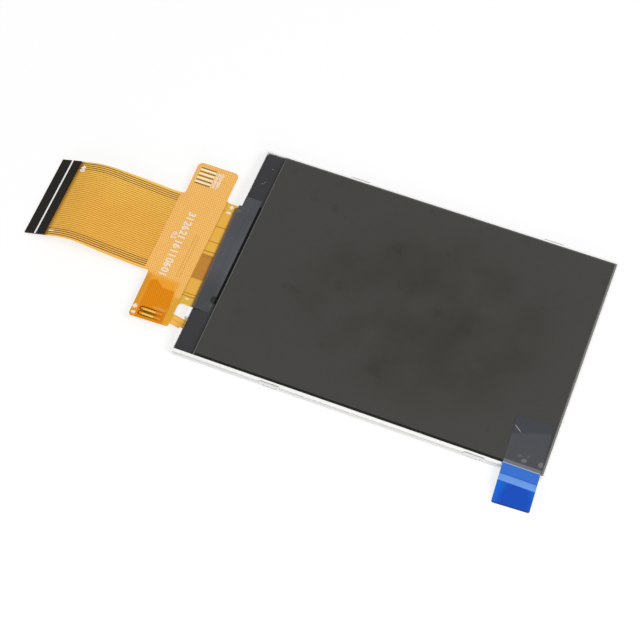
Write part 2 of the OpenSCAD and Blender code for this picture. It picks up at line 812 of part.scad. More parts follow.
// ---- pull tab
pull_x = module_l / 2 - pull_inset;
pull_arc = pull_bend_r * pull_slope * PI / 180;
pull_start = [[pull_stuck + pull_out, 0], [pull_arc, -pull_slope]];
pull_drop_z = walk(pull_start, length_of(pull_start))[0][1];
pull_fall = (pull_z + pull_drop_z - tip_gap) / sin(pull_slope);
pull_path = concat(pull_start, [[pull_fall, 0]]);

module pull_tab() {
    reach = walk(pull_path, length_of(pull_path))[0][0];
    w = pull_w / 2;
    r = pull_corner_r;
    color([0.12, 0.38, 0.86])
        translate([pull_x, -pol_w / 2, 0]) rotate(90 + pull_turn)
            intersection() {
                translate([pull_stuck, 0, pull_z])
                    strip(pull_path, 0, length_of(pull_path), 0, pull_t, -w, w);
                linear_extrude(pull_z + 1) polygon(outline([
                    [pull_stuck - reach, -w, r], [pull_stuck, -w, r / 2],
                    [pull_stuck, w, r / 2], [pull_stuck - reach, w, r]
                ]));
            }
}

steel_tray();
moulded_frame();
reflector_film();
light_guide();
diffuser_film();
lower_prism_film();
upper_prism_film();
rim_tape();
lamp_flex();
lamp_1();
lamp_2();
lamp_3();
lamp_4();
lamp_5();
lamp_6();
rear_polarizer();
rear_glass();
front_glass();
front_polarizer();
cover_film();
driver_chip();
bond_film();
main_flex();
copper_tracks();
contact_fingers();
tail_stiffener();
test_pads();
solder_joints();
ledge_tape();
pull_tab();
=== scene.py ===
"""Finishes and fine detail of a flat display module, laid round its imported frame.

Every length is in metres. The module lies face up: +X runs along its long side away from the
flexible circuit, and +Z points out of the display.
"""

import logging
import math
from collections.abc import Callable
from dataclasses import dataclass, field
from enum import Enum

import bpy
import numpy as np
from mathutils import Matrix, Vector
from mathutils.geometry import tessellate_polygon


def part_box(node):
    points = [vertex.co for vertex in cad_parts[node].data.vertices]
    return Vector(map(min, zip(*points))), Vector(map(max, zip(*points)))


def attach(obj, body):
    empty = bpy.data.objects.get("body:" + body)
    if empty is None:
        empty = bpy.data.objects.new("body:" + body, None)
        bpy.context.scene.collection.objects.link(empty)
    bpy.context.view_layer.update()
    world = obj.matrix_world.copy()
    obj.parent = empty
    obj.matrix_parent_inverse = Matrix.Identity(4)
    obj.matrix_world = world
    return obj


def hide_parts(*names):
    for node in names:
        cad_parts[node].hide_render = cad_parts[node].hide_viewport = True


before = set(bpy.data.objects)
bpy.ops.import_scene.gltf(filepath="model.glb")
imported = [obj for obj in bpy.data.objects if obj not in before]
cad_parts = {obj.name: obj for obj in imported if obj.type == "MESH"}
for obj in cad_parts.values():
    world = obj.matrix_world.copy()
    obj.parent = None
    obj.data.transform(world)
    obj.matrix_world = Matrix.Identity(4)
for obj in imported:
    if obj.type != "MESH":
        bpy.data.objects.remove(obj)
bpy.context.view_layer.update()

BODY = "root"
MM = 0.001
LOG = logging.getLogger("display_module")

# How much bolder than its font a numeral is drawn, as a share of its size
TYPE_WEIGHT = 0.028
# Cells on each curve of a numeral, and the digits to which its points are told apart
TYPE_CURVE_CELLS = 4
TYPE_DIGITS = 5
# The light that a satin film, the amber film and the blue film mirror, as a share of white
SATIN_SHEEN = 0.014
AMBER_SHEEN = 0.004
BLUE_SHEEN = 0.005
# The least light that any film gives back
DARKEST = 0.002
# How far the edge of the grey tape leans: metres of X for each metre of Y
TAPE_LEAN = 0.0303
# The Y over which the painted shadow on the neck beside the tape and the stain of the amber film on the
# tape end, just inside the far side of the neck
SHADE_AND_STAIN_END = (10.7 * MM, 10.2 * MM)
# The far side of the neck
NECK_FAR = 11.05 * MM
# The height of the copper tracks above the amber film
TRACK_LIFT = 0.018 * MM
# A spot and a speck are full inside these shares of their half length
SPOT_CORE = 0.55
SPECK_CORE = 0.4
# A size so long that a pattern no longer changes along that axis
ENDLESS = 1e3
# The octaves of a soft cloud pattern, of a usual one and of a sharp one
SOFT_CLOUDS, CLOUDS, SHARP_CLOUDS = 2.0, 3.0, 4.0
# Points on the arc of a rounded corner, and the most of a half width that its radius may take
ARC_POINTS = 9
FULL_ROUND = 0.999
# Faces that meet at less than this angle, in degrees, are shaded as one smooth surface
SMOOTH_ANGLE = 35
# Where a Mix node keeps its two colours, and their blend among its outputs
MIX_A, MIX_B, MIX_RESULT = 6, 7, 2
# The refractive index of the films and the glass
FILM_INDEX = 1.5
# The thickness of print
PRINT_DEPTH = 0.006 * MM

Lay = Callable[[np.ndarray, float], np.ndarray]
Colour = tuple[float, float, float]
Socket = bpy.types.NodeSocket
# What goes into a node: another node's output, or a constant
Value = Socket | float
Tone = Socket | Colour
Pair = tuple[float, float]
Mesh = tuple[np.ndarray, list]
# A soft rectangle in plan: its span in X, its span in Y and the width of its soft edge
Area = tuple[Pair, Pair, float]
# A soft ellipse in plan: its middle, its half lengths and its turn in degrees
Oval = tuple[Pair, Pair, float]


def mm(*lengths: float) -> tuple[float, ...]:
    """Turns lengths in millimetres into metres."""
    return tuple(length * MM for length in lengths)


# ---------------------------------------------------------------- colour


def linear(red: float, green: float, blue: float) -> Colour:
    """Turns a colour of 0 to 255 a channel, as a screen shows it, into linear light.

    A channel near black is divided by 12.92, and any other, with 0.055 added and divided by 1.055,
    is raised to the power of 2.4.

    Args:
        red, green, blue: the three channels.

    Returns:
        The same colour from 0 to 1 in linear light.
    """
    parts = np.array([red, green, blue]) / 255.0
    lit = np.where(parts <= 0.04045, parts / 12.92, ((parts + 0.055) / 1.055) ** 2.4)
    return tuple(float(v) for v in lit)


def under_sheen(red: float, green: float, blue: float, sheen: float = SATIN_SHEEN) -> Colour:
    """Takes the sheen of a bare film off a colour, so that film and sheen together show it.

    Args:
        red, green, blue: the colour that the surface shows, 0 to 255.
        sheen: the light that the surface mirrors, as a share of white.

    Returns:
        The colour of the film below its sheen, in linear light.
    """
    return tuple(max(DARKEST, v - sheen) for v in linear(red, green, blue))


# ---------------------------------------------------------------- materials


class Nodes:
    """A node tree while its nodes are laid."""

    def __init__(self, owner: bpy.types.Material | bpy.types.World) -> None:
        """Starts an empty node tree.

        Args:
            owner: the material or the world that holds it.
        """
        owner.use_nodes = True
        self.tree = owner.node_tree
        self.tree.nodes.clear()

    def put(self, socket: Socket, value: Value | tuple) -> None:
        """Links a socket into another, or sets its constant value.

        Args:
            socket: the input.
            value: the socket or the constant that goes into it.
        """
        if isinstance(value, Socket):
            self.tree.links.new(value, socket)
        elif socket.type == "RGBA" and len(value) == 3:
            socket.default_value = (*value, 1.0)
        else:
            socket.default_value = value

    def add(self, kind: str, inputs: dict[str | int, object], **settings: object) -> bpy.types.Node:
        """Adds a node.

        Args:
            kind: the node's type without its ShaderNode prefix.
            inputs: input name or index to a socket or a constant.
            **settings: the node's own properties.

        Returns:
            The new node.
        """
        node = self.tree.nodes.new("ShaderNode" + kind)
        for label, value in settings.items():
            setattr(node, label, value)
        for label, value in inputs.items():
            self.put(node.inputs[label], value)
        return node

    def maths(self, operation: str, a: Value, b: Value = 0.0, c: Value = 0.0) -> Socket:
        """The result of a Math node, held to no range."""
        return self.add("Math", {0: a, 1: b, 2: c}, operation=operation).outputs[0]

    def seen(self, *others: str) -> Socket:
        """Is 1 for rays from the camera and for the other kinds that are named, and 0 otherwise.

        Args:
            *others: names of outputs of the Light Path node.

        Returns:
            The mask.
        """
        path = self.add("LightPath", {})
        mask = path.outputs["Is Camera Ray"]
        for label in others:
            mask = self.maths("MAXIMUM", mask, path.outputs[label])
        return mask


class Recipe(Nodes):
    """A Principled material while its nodes are laid, with a short call for each kind of node."""

    def __init__(self, name: str, sockets: dict[str, float | Colour]) -> None:
        """Starts a material with one Principled shader.

        Args:
            name: the material's name.
            sockets: constant values for the shader's own sockets.
        """
        self.material = bpy.data.materials.new(name)
        super().__init__(self.material)
        self.shader = self.add("BsdfPrincipled", sockets)
        self.add("OutputMaterial", {"Surface": self.shader.outputs[0]})

    def place(self, centre: tuple = (0, 0, 0), size: tuple = (1, 1, 1), turn: float = 0.0) -> Socket:
        """Object coordinates, counted from a centre, turned about Z and divided by a size.

        Args:
            centre: the new origin.
            size: the length that becomes 1 on each axis.
            turn: the turn about Z, in degrees.

        Returns:
            The vector socket.
        """
        source = self.add("TexCoord", {}).outputs["Object"]
        inputs = {"Vector": source, "Location": centre, "Scale": size}
        inputs["Rotation"] = (0, 0, math.radians(turn))
        return self.add("Mapping", inputs, vector_type="TEXTURE").outputs[0]

    def surface(self) -> tuple[Socket, Socket]:
        """The piece's own two surface coordinates.

        Returns:
            U and V.
        """
        source = self.add("TexCoord", {}).outputs["UV"]
        parts = self.add("SeparateXYZ", {0: source})
        return parts.outputs["X"], parts.outputs["Y"]

    def axis(self, name: str, at: Socket | None = None) -> Socket:
        """One component, X, Y or Z, of a vector, by default of the Object coordinates."""
        return self.add("SeparateXYZ", {0: at if at is not None else self.place()}).outputs[name]

    def step(self, value: Socket, low: float, high: float) -> Socket:
        """Rises smoothly from 0 at low to 1 at high, whichever of the two is the larger.

        Args:
            value: the coordinate.
            low: where the result is 0.
            high: where the result is 1.

        Returns:
            The mask.
        """
        down = low > high
        ends = {"Value": value, "From Min": min(low, high), "From Max": max(low, high)}
        ends |= {"To Min": float(down), "To Max": float(not down)}
        return self.add("MapRange", ends, interpolation_type="SMOOTHSTEP").outputs[0]

    def band(self, value: Socket, low: float, high: float, soft: float) -> Socket:
        """Is 1 between low and high and 0 outside, with soft edges.

        Args:
            value: the coordinate.
            low, high: the edges of the band.
            soft: the width over which an edge fades.

        Returns:
            The mask.
        """
        rise = self.step(value, low - soft / 2, low + soft / 2)
        fall = self.step(value, high + soft / 2, high - soft / 2)
        return self.maths("MULTIPLY", rise, fall)

    def field(self, x: Pair, y: Pair, soft: float) -> Socket:
        """Is 1 inside a rectangle of Object X and Y and 0 outside, with soft edges."""
        sides = [self.band(self.axis(name), *span, soft) for name, span in (("X", x), ("Y", y))]
        return self.maths("MULTIPLY", *sides)

    def patch(self, corners: tuple[Pair, ...], soft: float) -> Socket:
        """Is 1 inside a convex outline in Object X and Y and 0 outside, with soft edges.

        Args:
            corners: the outline's corners, anticlockwise.
            soft: the width over which an edge fades.

        Returns:
            The mask, the product of one soft step square to each side.
        """
        x, y = self.axis("X"), self.axis("Y")
        mask: Value = 1.0
        for (x0, y0), (x1, y1) in zip(corners, corners[1:] + corners[:1]):
            length = math.hypot(x1 - x0, y1 - y0)
            across, along = (y0 - y1) / length, (x1 - x0) / length
            start = -(across * x0 + along * y0)
            rest = self.maths("MULTIPLY_ADD", y, along, start)
            inside = self.maths("MULTIPLY_ADD", x, across, rest)
            mask = self.maths("MULTIPLY", mask, self.step(inside, -soft / 2, soft / 2))
        return mask

    def spot(self, centre: Pair, size: Pair, turn: float = 0.0) -> Socket:
        """Is 1 at the middle of an ellipse and fades to 0 at its rim.

        Args:
            centre: the middle in X and Y.
            size: the two half lengths.
            turn: the turn of the first half length from +X, in degrees.

        Returns:
            The mask.
        """
        at = self.place((*centre, 0), (*size, ENDLESS), turn)
        away = self.add("VectorMath", {0: at}, operation="LENGTH").outputs["Value"]
        return self.step(away, 1.0, SPOT_CORE)

    def noise(
        self, size: float, detail: float = SOFT_CLOUDS, stretch: tuple = (1, 1, 1)
    ) -> Socket:
        """A cloudy value around 0.5.

        Args:
            size: the length of one cloud.
            detail: the number of octaves.
            stretch: how much longer the clouds are along each axis.

        Returns:
            The value.
        """
        at = self.place(size=tuple(size * v for v in stretch))
        return self.add("TexNoise", {"Vector": at, "Scale": 1.0, "Detail": detail}).outputs["Fac"]

    def specks(self, cell: float, radius: float, share: float) -> Socket:
        """Small round specks, one at most in each cell.

        Args:
            cell: the distance between specks.
            radius: the radius of a speck.
            share: the share of the cells that hold one.

        Returns:
            The mask.
        """
        cells = self.add("TexVoronoi", {"Vector": self.place(size=(cell,) * 3), "Scale": 1.0})
        near = self.step(cells.outputs["Distance"], radius / cell, radius / cell * SPECK_CORE)
        chance = self.add("SeparateColor", {0: cells.outputs["Color"]}).outputs[0]
        return self.maths("MULTIPLY", near, self.maths("LESS_THAN", chance, share))

    def wave(self, value: Socket, pitch: float) -> Socket:
        """Half plus half the sine of a coordinate, with one period each pitch."""
        turns = self.maths("MULTIPLY", value, 2 * math.pi / pitch)
        return self.maths("MULTIPLY_ADD", self.maths("SINE", turns), 0.5, 0.5)

    def mix(self, share: Value, a: Tone, b: Tone) -> Socket:
        """Blends colour a into colour b.

        Args:
            share: 0 for a alone and 1 for b alone.
            a, b: the two colours.

        Returns:
            The colour.
        """
        node = self.add("Mix", {"Factor": share, MIX_A: a, MIX_B: b}, data_type="RGBA")
        return node.outputs[MIX_RESULT]

    def tint(self, tone: Tone, mask: Socket, share: float, colour: Tone) -> Socket:
        """Blends a share of a colour into a tone where a mask is 1."""
        return self.mix(self.maths("MULTIPLY", mask, share), tone, colour)

    def vary(self, colour: Tone, value: Socket, amount: float) -> Socket:
        """Brightens a colour with a value, from 1 less the amount to 1 plus the amount.

        Args:
            colour: the colour.
            value: the value, from 0 to 1.
            amount: the amount, which darkens the colour instead where it is below 0.

        Returns:
            The colour.
        """
        gain = self.maths("MULTIPLY_ADD", value, 2 * amount, 1 - amount)
        return self.add("VectorMath", {0: colour, "Scale": gain}, operation="SCALE").outputs[0]

    def relief(self, height: Socket, depth: float) -> None:
        """Gives the shader a bump whose height runs from 0 to depth."""
        inputs = {"Height": height, "Distance": depth, "Strength": 1.0}
        self.put(self.shader.inputs["Normal"], self.add("Bump", inputs).outputs[0])

    def finish(self, colour: Tone, roughness: Value | None = None) -> bpy.types.Material:
        """Links the colour and the roughness and hands the material over.

        Args:
            colour: the base colour.
            roughness: the roughness, if it isn't the shader's own.

        Returns:
            The finished material.
        """
        self.put(self.shader.inputs["Base Color"], colour)
        if roughness is not None:
            self.put(self.shader.inputs["Roughness"], roughness)
        return self.material


@dataclass(frozen=True)
class Finish:
    """A surface of one colour with a fine mottle, a light grain and its own gloss.

    In the finishes that build on it, a value named _at is a place, and one named _from holds where
    a tone starts and where it is full. _shown is the most of a tone that shows, _dots is what the
    hatch adds to it, and _level holds the heights of a pattern between which it comes in.
    """

    colour: Colour
    roughness: float = 0.4
    metallic: float = 0.0
    mottle: float = 0.04
    mottle_size: float = 6 * MM
    grain_size: float = 0.25 * MM
    grain_depth: float = 0.002 * MM
    specular: float = 0.5
    gloss_spread: float = 0.12

    def material(self, name: str) -> bpy.types.Material:
        """Builds the material.

        Args:
            name: the material's name.

        Returns:
            The new material.
        """
        recipe = Recipe(name, {"Metallic": self.metallic, "Specular IOR Level": self.specular})
        cloud = recipe.noise(self.mottle_size)
        recipe.relief(recipe.noise(self.grain_size, CLOUDS), self.grain_depth)
        return recipe.finish(recipe.vary(self.colour, cloud, self.mottle), self.gloss(recipe, cloud))

    def gloss(self, recipe: Recipe, value: Socket) -> Socket:
        """Spreads the roughness evenly about its middle as a value goes from 0 to 1."""
        smooth = self.roughness - self.gloss_spread / 2
        return recipe.maths("MULTIPLY_ADD", value, self.gloss_spread, smooth)


@dataclass(frozen=True)
class RolledSteel(Finish):
    """Bright sheet steel with the long streaks of the rolling mill, and an end wall painted pale and less
    metallic as painted light from that side.
    """

    gloss_spread: float = 0.2
    streak: float = 0.06
    streak_size: float = 0.06 * MM
    streak_stretch: float = 90
    streak_depth: float = 0.0012 * MM
    end_wall: Pair = mm(41.2, 41.24)
    end_colour: Colour = (0.97, 0.97, 0.96)
    end_dulled: float = 0.7

    def material(self, name: str) -> bpy.types.Material:
        """Builds the material.

        Args:
            name: the material's name.

        Returns:
            The new material.
        """
        recipe = Recipe(name, {})
        streak = recipe.noise(self.streak_size, SHARP_CLOUDS, (self.streak_stretch, 1, 1))
        cloud = recipe.noise(self.mottle_size)
        recipe.relief(streak, self.streak_depth)
        # Painted light: the end wall at +X is painted pale and less metallic, as though lit from that
        # side
        end = recipe.step(recipe.axis("X"), *self.end_wall)
        metal = recipe.maths("MULTIPLY_ADD", end, -self.end_dulled, self.metallic)
        recipe.put(recipe.shader.inputs["Metallic"], metal)
        tone = recipe.vary(recipe.mix(end, self.colour, self.end_colour), streak, self.streak)
        return recipe.finish(recipe.vary(tone, cloud, self.mottle), self.gloss(recipe, streak))


@dataclass(frozen=True)
class ClearFilm(Finish):
    """A clear sheet, or a film with fine ribs, that light passes through."""

    transmission: float = 0.9
    rib_pitch: float = 0.0
    rib_depth: float = 0.004 * MM

    def material(self, name: str) -> bpy.types.Material:
        """Builds the material.

        Args:
            name: the material's name.

        Returns:
            The new material.
        """
        recipe = Recipe(name, {"Transmission Weight": self.transmission, "IOR": FILM_INDEX})
        cloud = recipe.noise(self.mottle_size)
        if self.rib_pitch:
            recipe.relief(recipe.wave(recipe.axis("Y"), self.rib_pitch), self.rib_depth)
        return recipe.finish(recipe.vary(self.colour, cloud, self.mottle), self.roughness)


@dataclass(frozen=True)
class DisplayFilm(Finish):
    """The dark face of the display under its protective film, with faint clouding and dust."""

    gloss_spread: float = 0.1
    broad: float = 0.06
    broad_size: float = 18 * MM
    fine: float = 0.05
    fine_size: float = 1.2 * MM
    fine_depth: float = 0.0005 * MM
    smudge: Colour = under_sheen(60, 58, 53)
    middle: Oval = (mm(7, 0), mm(34, 26), 0.0)
    cloud_size: float = 9 * MM
    cloud_gain: float = 1.5
    cloud_floor: float = -0.45
    blot: float = 0.4
    blot_size: float = 5 * MM
    blot_level: Pair = (0.62, 0.74)
    dust: Colour = (0.20, 0.20, 0.19)
    dust_shown: float = 0.45
    dust_cell: float = 9 * MM
    dust_radius: float = 0.16 * MM
    dust_chance: float = 0.35

    def material(self, name: str) -> bpy.types.Material:
        """Builds the material.

        Args:
            name: the material's name.

        Returns:
            The new material.
        """
        recipe = Recipe(name, {"IOR": FILM_INDEX})
        broad = recipe.noise(self.broad_size, CLOUDS)
        fine = recipe.noise(self.fine_size, CLOUDS)
        tone = recipe.vary(recipe.vary(self.colour, broad, self.broad), fine, self.fine)
        cloud = recipe.noise(self.cloud_size, SHARP_CLOUDS)
        cloud = recipe.maths("MULTIPLY_ADD", cloud, self.cloud_gain, self.cloud_floor)
        middle = recipe.maths("MULTIPLY", recipe.spot(*self.middle), cloud)
        tone = recipe.mix(middle, tone, self.smudge)
        blots = recipe.step(recipe.noise(self.blot_size, SHARP_CLOUDS), *self.blot_level)
        tone = recipe.tint(tone, blots, self.blot, self.smudge)
        dust = recipe.specks(self.dust_cell, self.dust_radius, self.dust_chance)
        tone = recipe.tint(tone, dust, self.dust_shown, self.dust)
        recipe.relief(fine, self.fine_depth)
        return recipe.finish(tone, self.gloss(recipe, broad))


@dataclass(frozen=True)
class PanelGlass(Finish):
    """Glass of the panel: black round the picture, paler where its bare margins show."""

    far_margin: Colour = under_sheen(104, 103, 100)
    far_edge: Pair = mm(26.25, 26.29)
    lamp_margin: Colour = under_sheen(98, 98, 94)
    lamp_edge: Pair = mm(-35.74, -35.78)
    end_margin: Colour = under_sheen(136, 135, 133)
    end_edge: Pair = mm(40.5, 40.54)

    def material(self, name: str) -> bpy.types.Material:
        """Builds the material.

        Args:
            name: the material's name.

        Returns:
            The new material.
        """
        recipe = Recipe(name, {"IOR": FILM_INDEX})
        x, y = recipe.axis("X"), recipe.axis("Y")
        tone = recipe.vary(self.colour, recipe.noise(self.mottle_size), self.mottle)
        tone = recipe.mix(recipe.step(y, *self.far_edge), tone, self.far_margin)
        tone = recipe.mix(recipe.step(x, *self.lamp_edge), tone, self.lamp_margin)
        tone = recipe.mix(recipe.step(x, *self.end_edge), tone, self.end_margin)
        return recipe.finish(tone, self.roughness)


@dataclass(frozen=True)
class LedgeGlass(Finish):
    """The bare ledge of the rear glass: pale fan-out lines of thin metal, a few pale marks, and
    a painted shadow in the gap between the tape and the front glass."""

    line: Colour = linear(66, 67, 74)
    line_shown: float = 0.35
    line_pitch: float = 0.35 * MM
    line_level: Pair = (0.45, 0.7)
    mark: Colour = linear(150, 150, 155)
    mark_shown: float = 0.7
    mark_size: Pair = mm(0.2, 0.13)
    mark_turn: float = 20
    marks: tuple[Pair, ...] = (
        mm(-40.7, 21.8),
        mm(-38.6, 18.6),
        mm(-38.2, 19.0),
        mm(-41.1, 26.6),
        mm(-37.9, 22.9),
    )
    # A painted shadow on the ledge beside the tape's raised edge, where it meets the front glass
    gap: Area = (mm(-37.0, -36.0), mm(-13.7, 12.6), 0.06 * MM)
    gap_colour: Colour = (0.001, 0.001, 0.001)

    def material(self, name: str) -> bpy.types.Material:
        """Builds the material.

        Args:
            name: the material's name.

        Returns:
            The new material.
        """
        recipe = Recipe(name, {"IOR": FILM_INDEX})
        cloud = recipe.noise(self.mottle_size, CLOUDS)
        lines = recipe.wave(recipe.axis("Y"), self.line_pitch)
        lines = recipe.maths("MULTIPLY", lines, recipe.step(cloud, *self.line_level))
        tone = recipe.tint(self.colour, lines, self.line_shown, self.line)
        for place in self.marks:
            mark = recipe.spot(place, self.mark_size, self.mark_turn)
            tone = recipe.tint(tone, mark, self.mark_shown, self.mark)
        tone = recipe.vary(tone, cloud, self.mottle)
        # Painted shadow in the gap beside the tape
        tone = recipe.mix(recipe.field(*self.gap), tone, self.gap_colour)
        return recipe.finish(tone, self.roughness)


@dataclass(frozen=True)
class AmberSheet(Finish):
    """Amber circuit film: a hatched copper plane on the cross bar and clear film on the neck."""

    specular: float = 0.15
    dot: Colour = under_sheen(206, 134, 52, AMBER_SHEEN)
    dot_shown: float = 0.8
    dot_level: Pair = (0.1, 0.6)
    dot_depth: float = 0.004 * MM
    hatch_pitch: float = 0.42 * MM
    hatch_turn: float = 38
    doubled: Colour = under_sheen(232, 157, 50, AMBER_SHEEN)
    doubled_at: Area = (mm(-56.0, -45.5), mm(-24.0, -11.6), 1.5 * MM)
    doubled_dots: float = -0.1
    rim: Colour = linear(212, 145, 42)
    rim_from: Pair = mm(-51.4, -52.4)
    strip: Colour = linear(220, 159, 48)
    strip_at: Area = (mm(-45.3, -43.0), mm(-24.0, -15.2), 1.2 * MM)
    strip_dots: float = -0.08
    deep: Colour = under_sheen(215, 130, 10, AMBER_SHEEN)
    deep_left: tuple[Pair, ...] = (
        mm(-51.5, -23.0),
        mm(-48.2, -23.0),
        mm(-48.3, -14.1),
        mm(-50.4, -12.5),
        mm(-51.8, -13.1),
    )
    deep_right: tuple[Pair, ...] = (
        mm(-48.6, -23.0),
        mm(-45.0, -23.0),
        mm(-45.2, -16.8),
        mm(-45.7, -14.0),
        mm(-48.6, -13.9),
    )
    deep_soft: float = 0.6 * MM
    deep_dots: float = -0.16
    # A painted sheen: a pale patch just above the upper solder slot
    peach: Colour = linear(224, 158, 76)
    peach_at: Oval = (mm(-47.0, -19.1), mm(2.1, 0.5), 0.0)
    peach_shown: float = 0.6
    neck: Colour = under_sheen(230, 175, 74, AMBER_SHEEN)
    neck_from: Pair = mm(-44.12, -44.0)
    neck_sides: Pair = mm(-16.6, 11.4)
    neck_soft: float = 0.1 * MM
    brown: Colour = linear(188, 130, 54)
    brown_at: Area = (mm(-44.0, -40.0), mm(-9.4, -2.9), 0.3 * MM)
    yellow: Colour = linear(218, 178, 62)
    yellow_shown: float = 0.7
    yellow_at: Area = (mm(-44.0, -40.0), mm(-17.0, -14.2), 0.3 * MM)
    yellow_far: Pair = mm(9.2, 9.6)
    line: Colour = linear(140, 92, 28)
    line_shown: float = 0.7
    line_soft: float = 0.08 * MM
    lines: tuple[Pair, ...] = (
        mm(8.9, 0.16),
        mm(4.5, 0.24),
        mm(0.5, 0.2),
        mm(-2.1, 0.26),
        mm(-3.2, 0.12),
        mm(-3.6, 0.1),
        mm(-13.3, 0.2),
        mm(-14.0, 0.22),
    )
    seam: Colour = linear(186, 132, 50)
    seam_shown: float = 0.5
    seam_at: Pair = mm(-44.0, -43.7)
    seam_soft: float = 0.14 * MM
    # A painted shadow of the tape's raised edge on the neck, partly the tape's adhesive
    shade: Colour = linear(92, 60, 36)
    shade_shown: float = 0.85
    shade_from: Pair = mm(-41.95, -41.15)

    def material(self, name: str) -> bpy.types.Material:
        """Builds the material.

        Args:
            name: the material's name.

        Returns:
            The new material.
        """
        recipe = Recipe(name, {"IOR": FILM_INDEX, "Specular IOR Level": self.specular})
        slant = recipe.place(turn=self.hatch_turn)
        rows = (recipe.wave(recipe.axis(axis, slant), self.hatch_pitch) for axis in "XY")
        dots = recipe.step(recipe.maths("MULTIPLY", *rows), *self.dot_level)
        cloud = recipe.noise(self.mottle_size, CLOUDS)
        plane = recipe.tint(self.colour, dots, self.dot_shown, self.dot)
        plane = self.doubled_tone(recipe, plane, dots)
        edge = recipe.step(recipe.axis("X"), *self.neck_from)
        inside = recipe.band(recipe.axis("Y"), *self.neck_sides, self.neck_soft)
        tone = recipe.mix(recipe.maths("MULTIPLY", edge, inside), plane, self.neck_tone(recipe))
        recipe.relief(dots, self.dot_depth)
        return recipe.finish(recipe.vary(tone, cloud, self.mottle), self.roughness)

    def doubled_tone(self, recipe: Recipe, plane: Socket, dots: Socket) -> Socket:
        """Deepens the bar where the second film lies under it, and paints a pale sheen above the upper
        slot.

        Args:
            recipe: the material that is being laid.
            plane: the colour of the bar.
            dots: the mask of the hatch.

        Returns:
            The colour.
        """
        under = recipe.field(*self.doubled_at)
        rim = recipe.maths("MULTIPLY", under, recipe.step(recipe.axis("X"), *self.rim_from))
        patches = (recipe.patch(corners, self.deep_soft) for corners in (self.deep_left, self.deep_right))
        shades = (
            (under, self.doubled, self.doubled_dots),
            (rim, self.rim, self.doubled_dots),
            (recipe.field(*self.strip_at), self.strip, self.strip_dots),
            (recipe.maths("MAXIMUM", *patches), self.deep, self.deep_dots),
        )
        for mask, colour, amount in shades:
            plane = recipe.mix(mask, plane, recipe.vary(colour, dots, amount))
        # Painted sheen above the upper slot
        return recipe.tint(plane, recipe.spot(*self.peach_at), self.peach_shown, self.peach)

    def neck_tone(self, recipe: Recipe) -> Socket:
        """Colours the neck: clear film, a brown field of bare tracks, the dark lines across it, and a
        painted shadow beside the tape's edge that is partly the tape's adhesive.

        Args:
            recipe: the material that is being laid.

        Returns:
            The colour.
        """
        x, y = recipe.axis("X"), recipe.axis("Y")
        tone = recipe.mix(recipe.field(*self.brown_at), self.neck, self.brown)
        yellow = recipe.field(*self.yellow_at)
        yellow = recipe.maths("MAXIMUM", yellow, recipe.step(y, *self.yellow_far))
        tone = recipe.tint(tone, yellow, self.yellow_shown, self.yellow)
        for place, width in self.lines:
            line = recipe.band(y, place - width / 2, place + width / 2, self.line_soft)
            tone = recipe.tint(tone, line, self.line_shown, self.line)
        seam = recipe.band(x, *self.seam_at, self.seam_soft)
        tone = recipe.tint(tone, seam, self.seam_shown, self.seam)
        # Painted shadow beside the tape's edge, partly its adhesive
        from_tape = recipe.maths("MULTIPLY_ADD", y, TAPE_LEAN, x)
        shade = recipe.step(from_tape, *self.shade_from)
        shade = recipe.maths("MULTIPLY", shade, recipe.step(y, *SHADE_AND_STAIN_END))
        return recipe.tint(tone, shade, self.shade_shown, self.shade)


@dataclass(frozen=True)
class AmberTail(Finish):
    """Amber film of the tail, with painted light making its falling slope lighter, and more orange. U
    runs along it and V across it, both in metres.
    """

    line: Colour = under_sheen(204, 140, 48)
    line_shown: float = 0.3
    line_pitch: float = 0.5 * MM
    line_depth: float = 0.003 * MM
    far_side: Colour = under_sheen(253, 207, 100)
    far_reach: Pair = mm(1.0, 7.0)
    # Painted light on the falling slope, with a more orange tone
    deep: Colour = under_sheen(255, 200, 84)
    deep_shown: float = 0.8
    deep_from: Pair = mm(17.0, 25.1)
    shade: Colour = linear(80, 48, 20)
    shade_shown: float = 0.9
    shade_from: Pair = mm(25.1, 26.5)

    def material(self, name: str) -> bpy.types.Material:
        """Builds the material.

        Args:
            name: the material's name.

        Returns:
            The new material.
        """
        recipe = Recipe(name, {"IOR": FILM_INDEX})
        along, across = recipe.surface()
        cloud = recipe.noise(self.mottle_size, CLOUDS)
        lines = recipe.wave(across, self.line_pitch)
        tone = recipe.mix(recipe.step(across, *self.far_reach), self.colour, self.far_side)
        tone = recipe.tint(tone, lines, self.line_shown, self.line)
        # Painted light: the falling slope is lighter, and more orange
        tone = recipe.tint(tone, recipe.step(along, *self.deep_from), self.deep_shown, self.deep)
        tone = recipe.tint(tone, recipe.step(along, *self.shade_from), self.shade_shown, self.shade)
        recipe.relief(lines, self.line_depth)
        return recipe.finish(recipe.vary(tone, cloud, self.mottle), self.roughness)


@dataclass(frozen=True)
class LampLead(Finish):
    """Amber lead of the lamps, with dark lines between its two broad tracks and beside them."""

    line: Colour = linear(196, 108, 24)
    line_shown: float = 0.4
    line_soft: float = 0.08 * MM
    lines: tuple[Pair, ...] = (mm(-20.2, 0.22), mm(-19.25, 0.14), mm(-21.15, 0.14))
    under_bar: Colour = under_sheen(232, 152, 44)
    under_from: Pair = mm(-44.9, -45.2)

    def material(self, name: str) -> bpy.types.Material:
        """Builds the material.

        Args:
            name: the material's name.

        Returns:
            The new material.
        """
        recipe = Recipe(name, {"IOR": FILM_INDEX})
        y = recipe.axis("Y")
        cloud = recipe.noise(self.mottle_size, CLOUDS)
        tone = self.colour
        for place, width in self.lines:
            line = recipe.band(y, place - width / 2, place + width / 2, self.line_soft)
            tone = recipe.tint(tone, line, self.line_shown, self.line)
        tone = recipe.mix(recipe.step(recipe.axis("X"), *self.under_from), tone, self.under_bar)
        return recipe.finish(recipe.vary(tone, cloud, self.mottle), self.roughness)


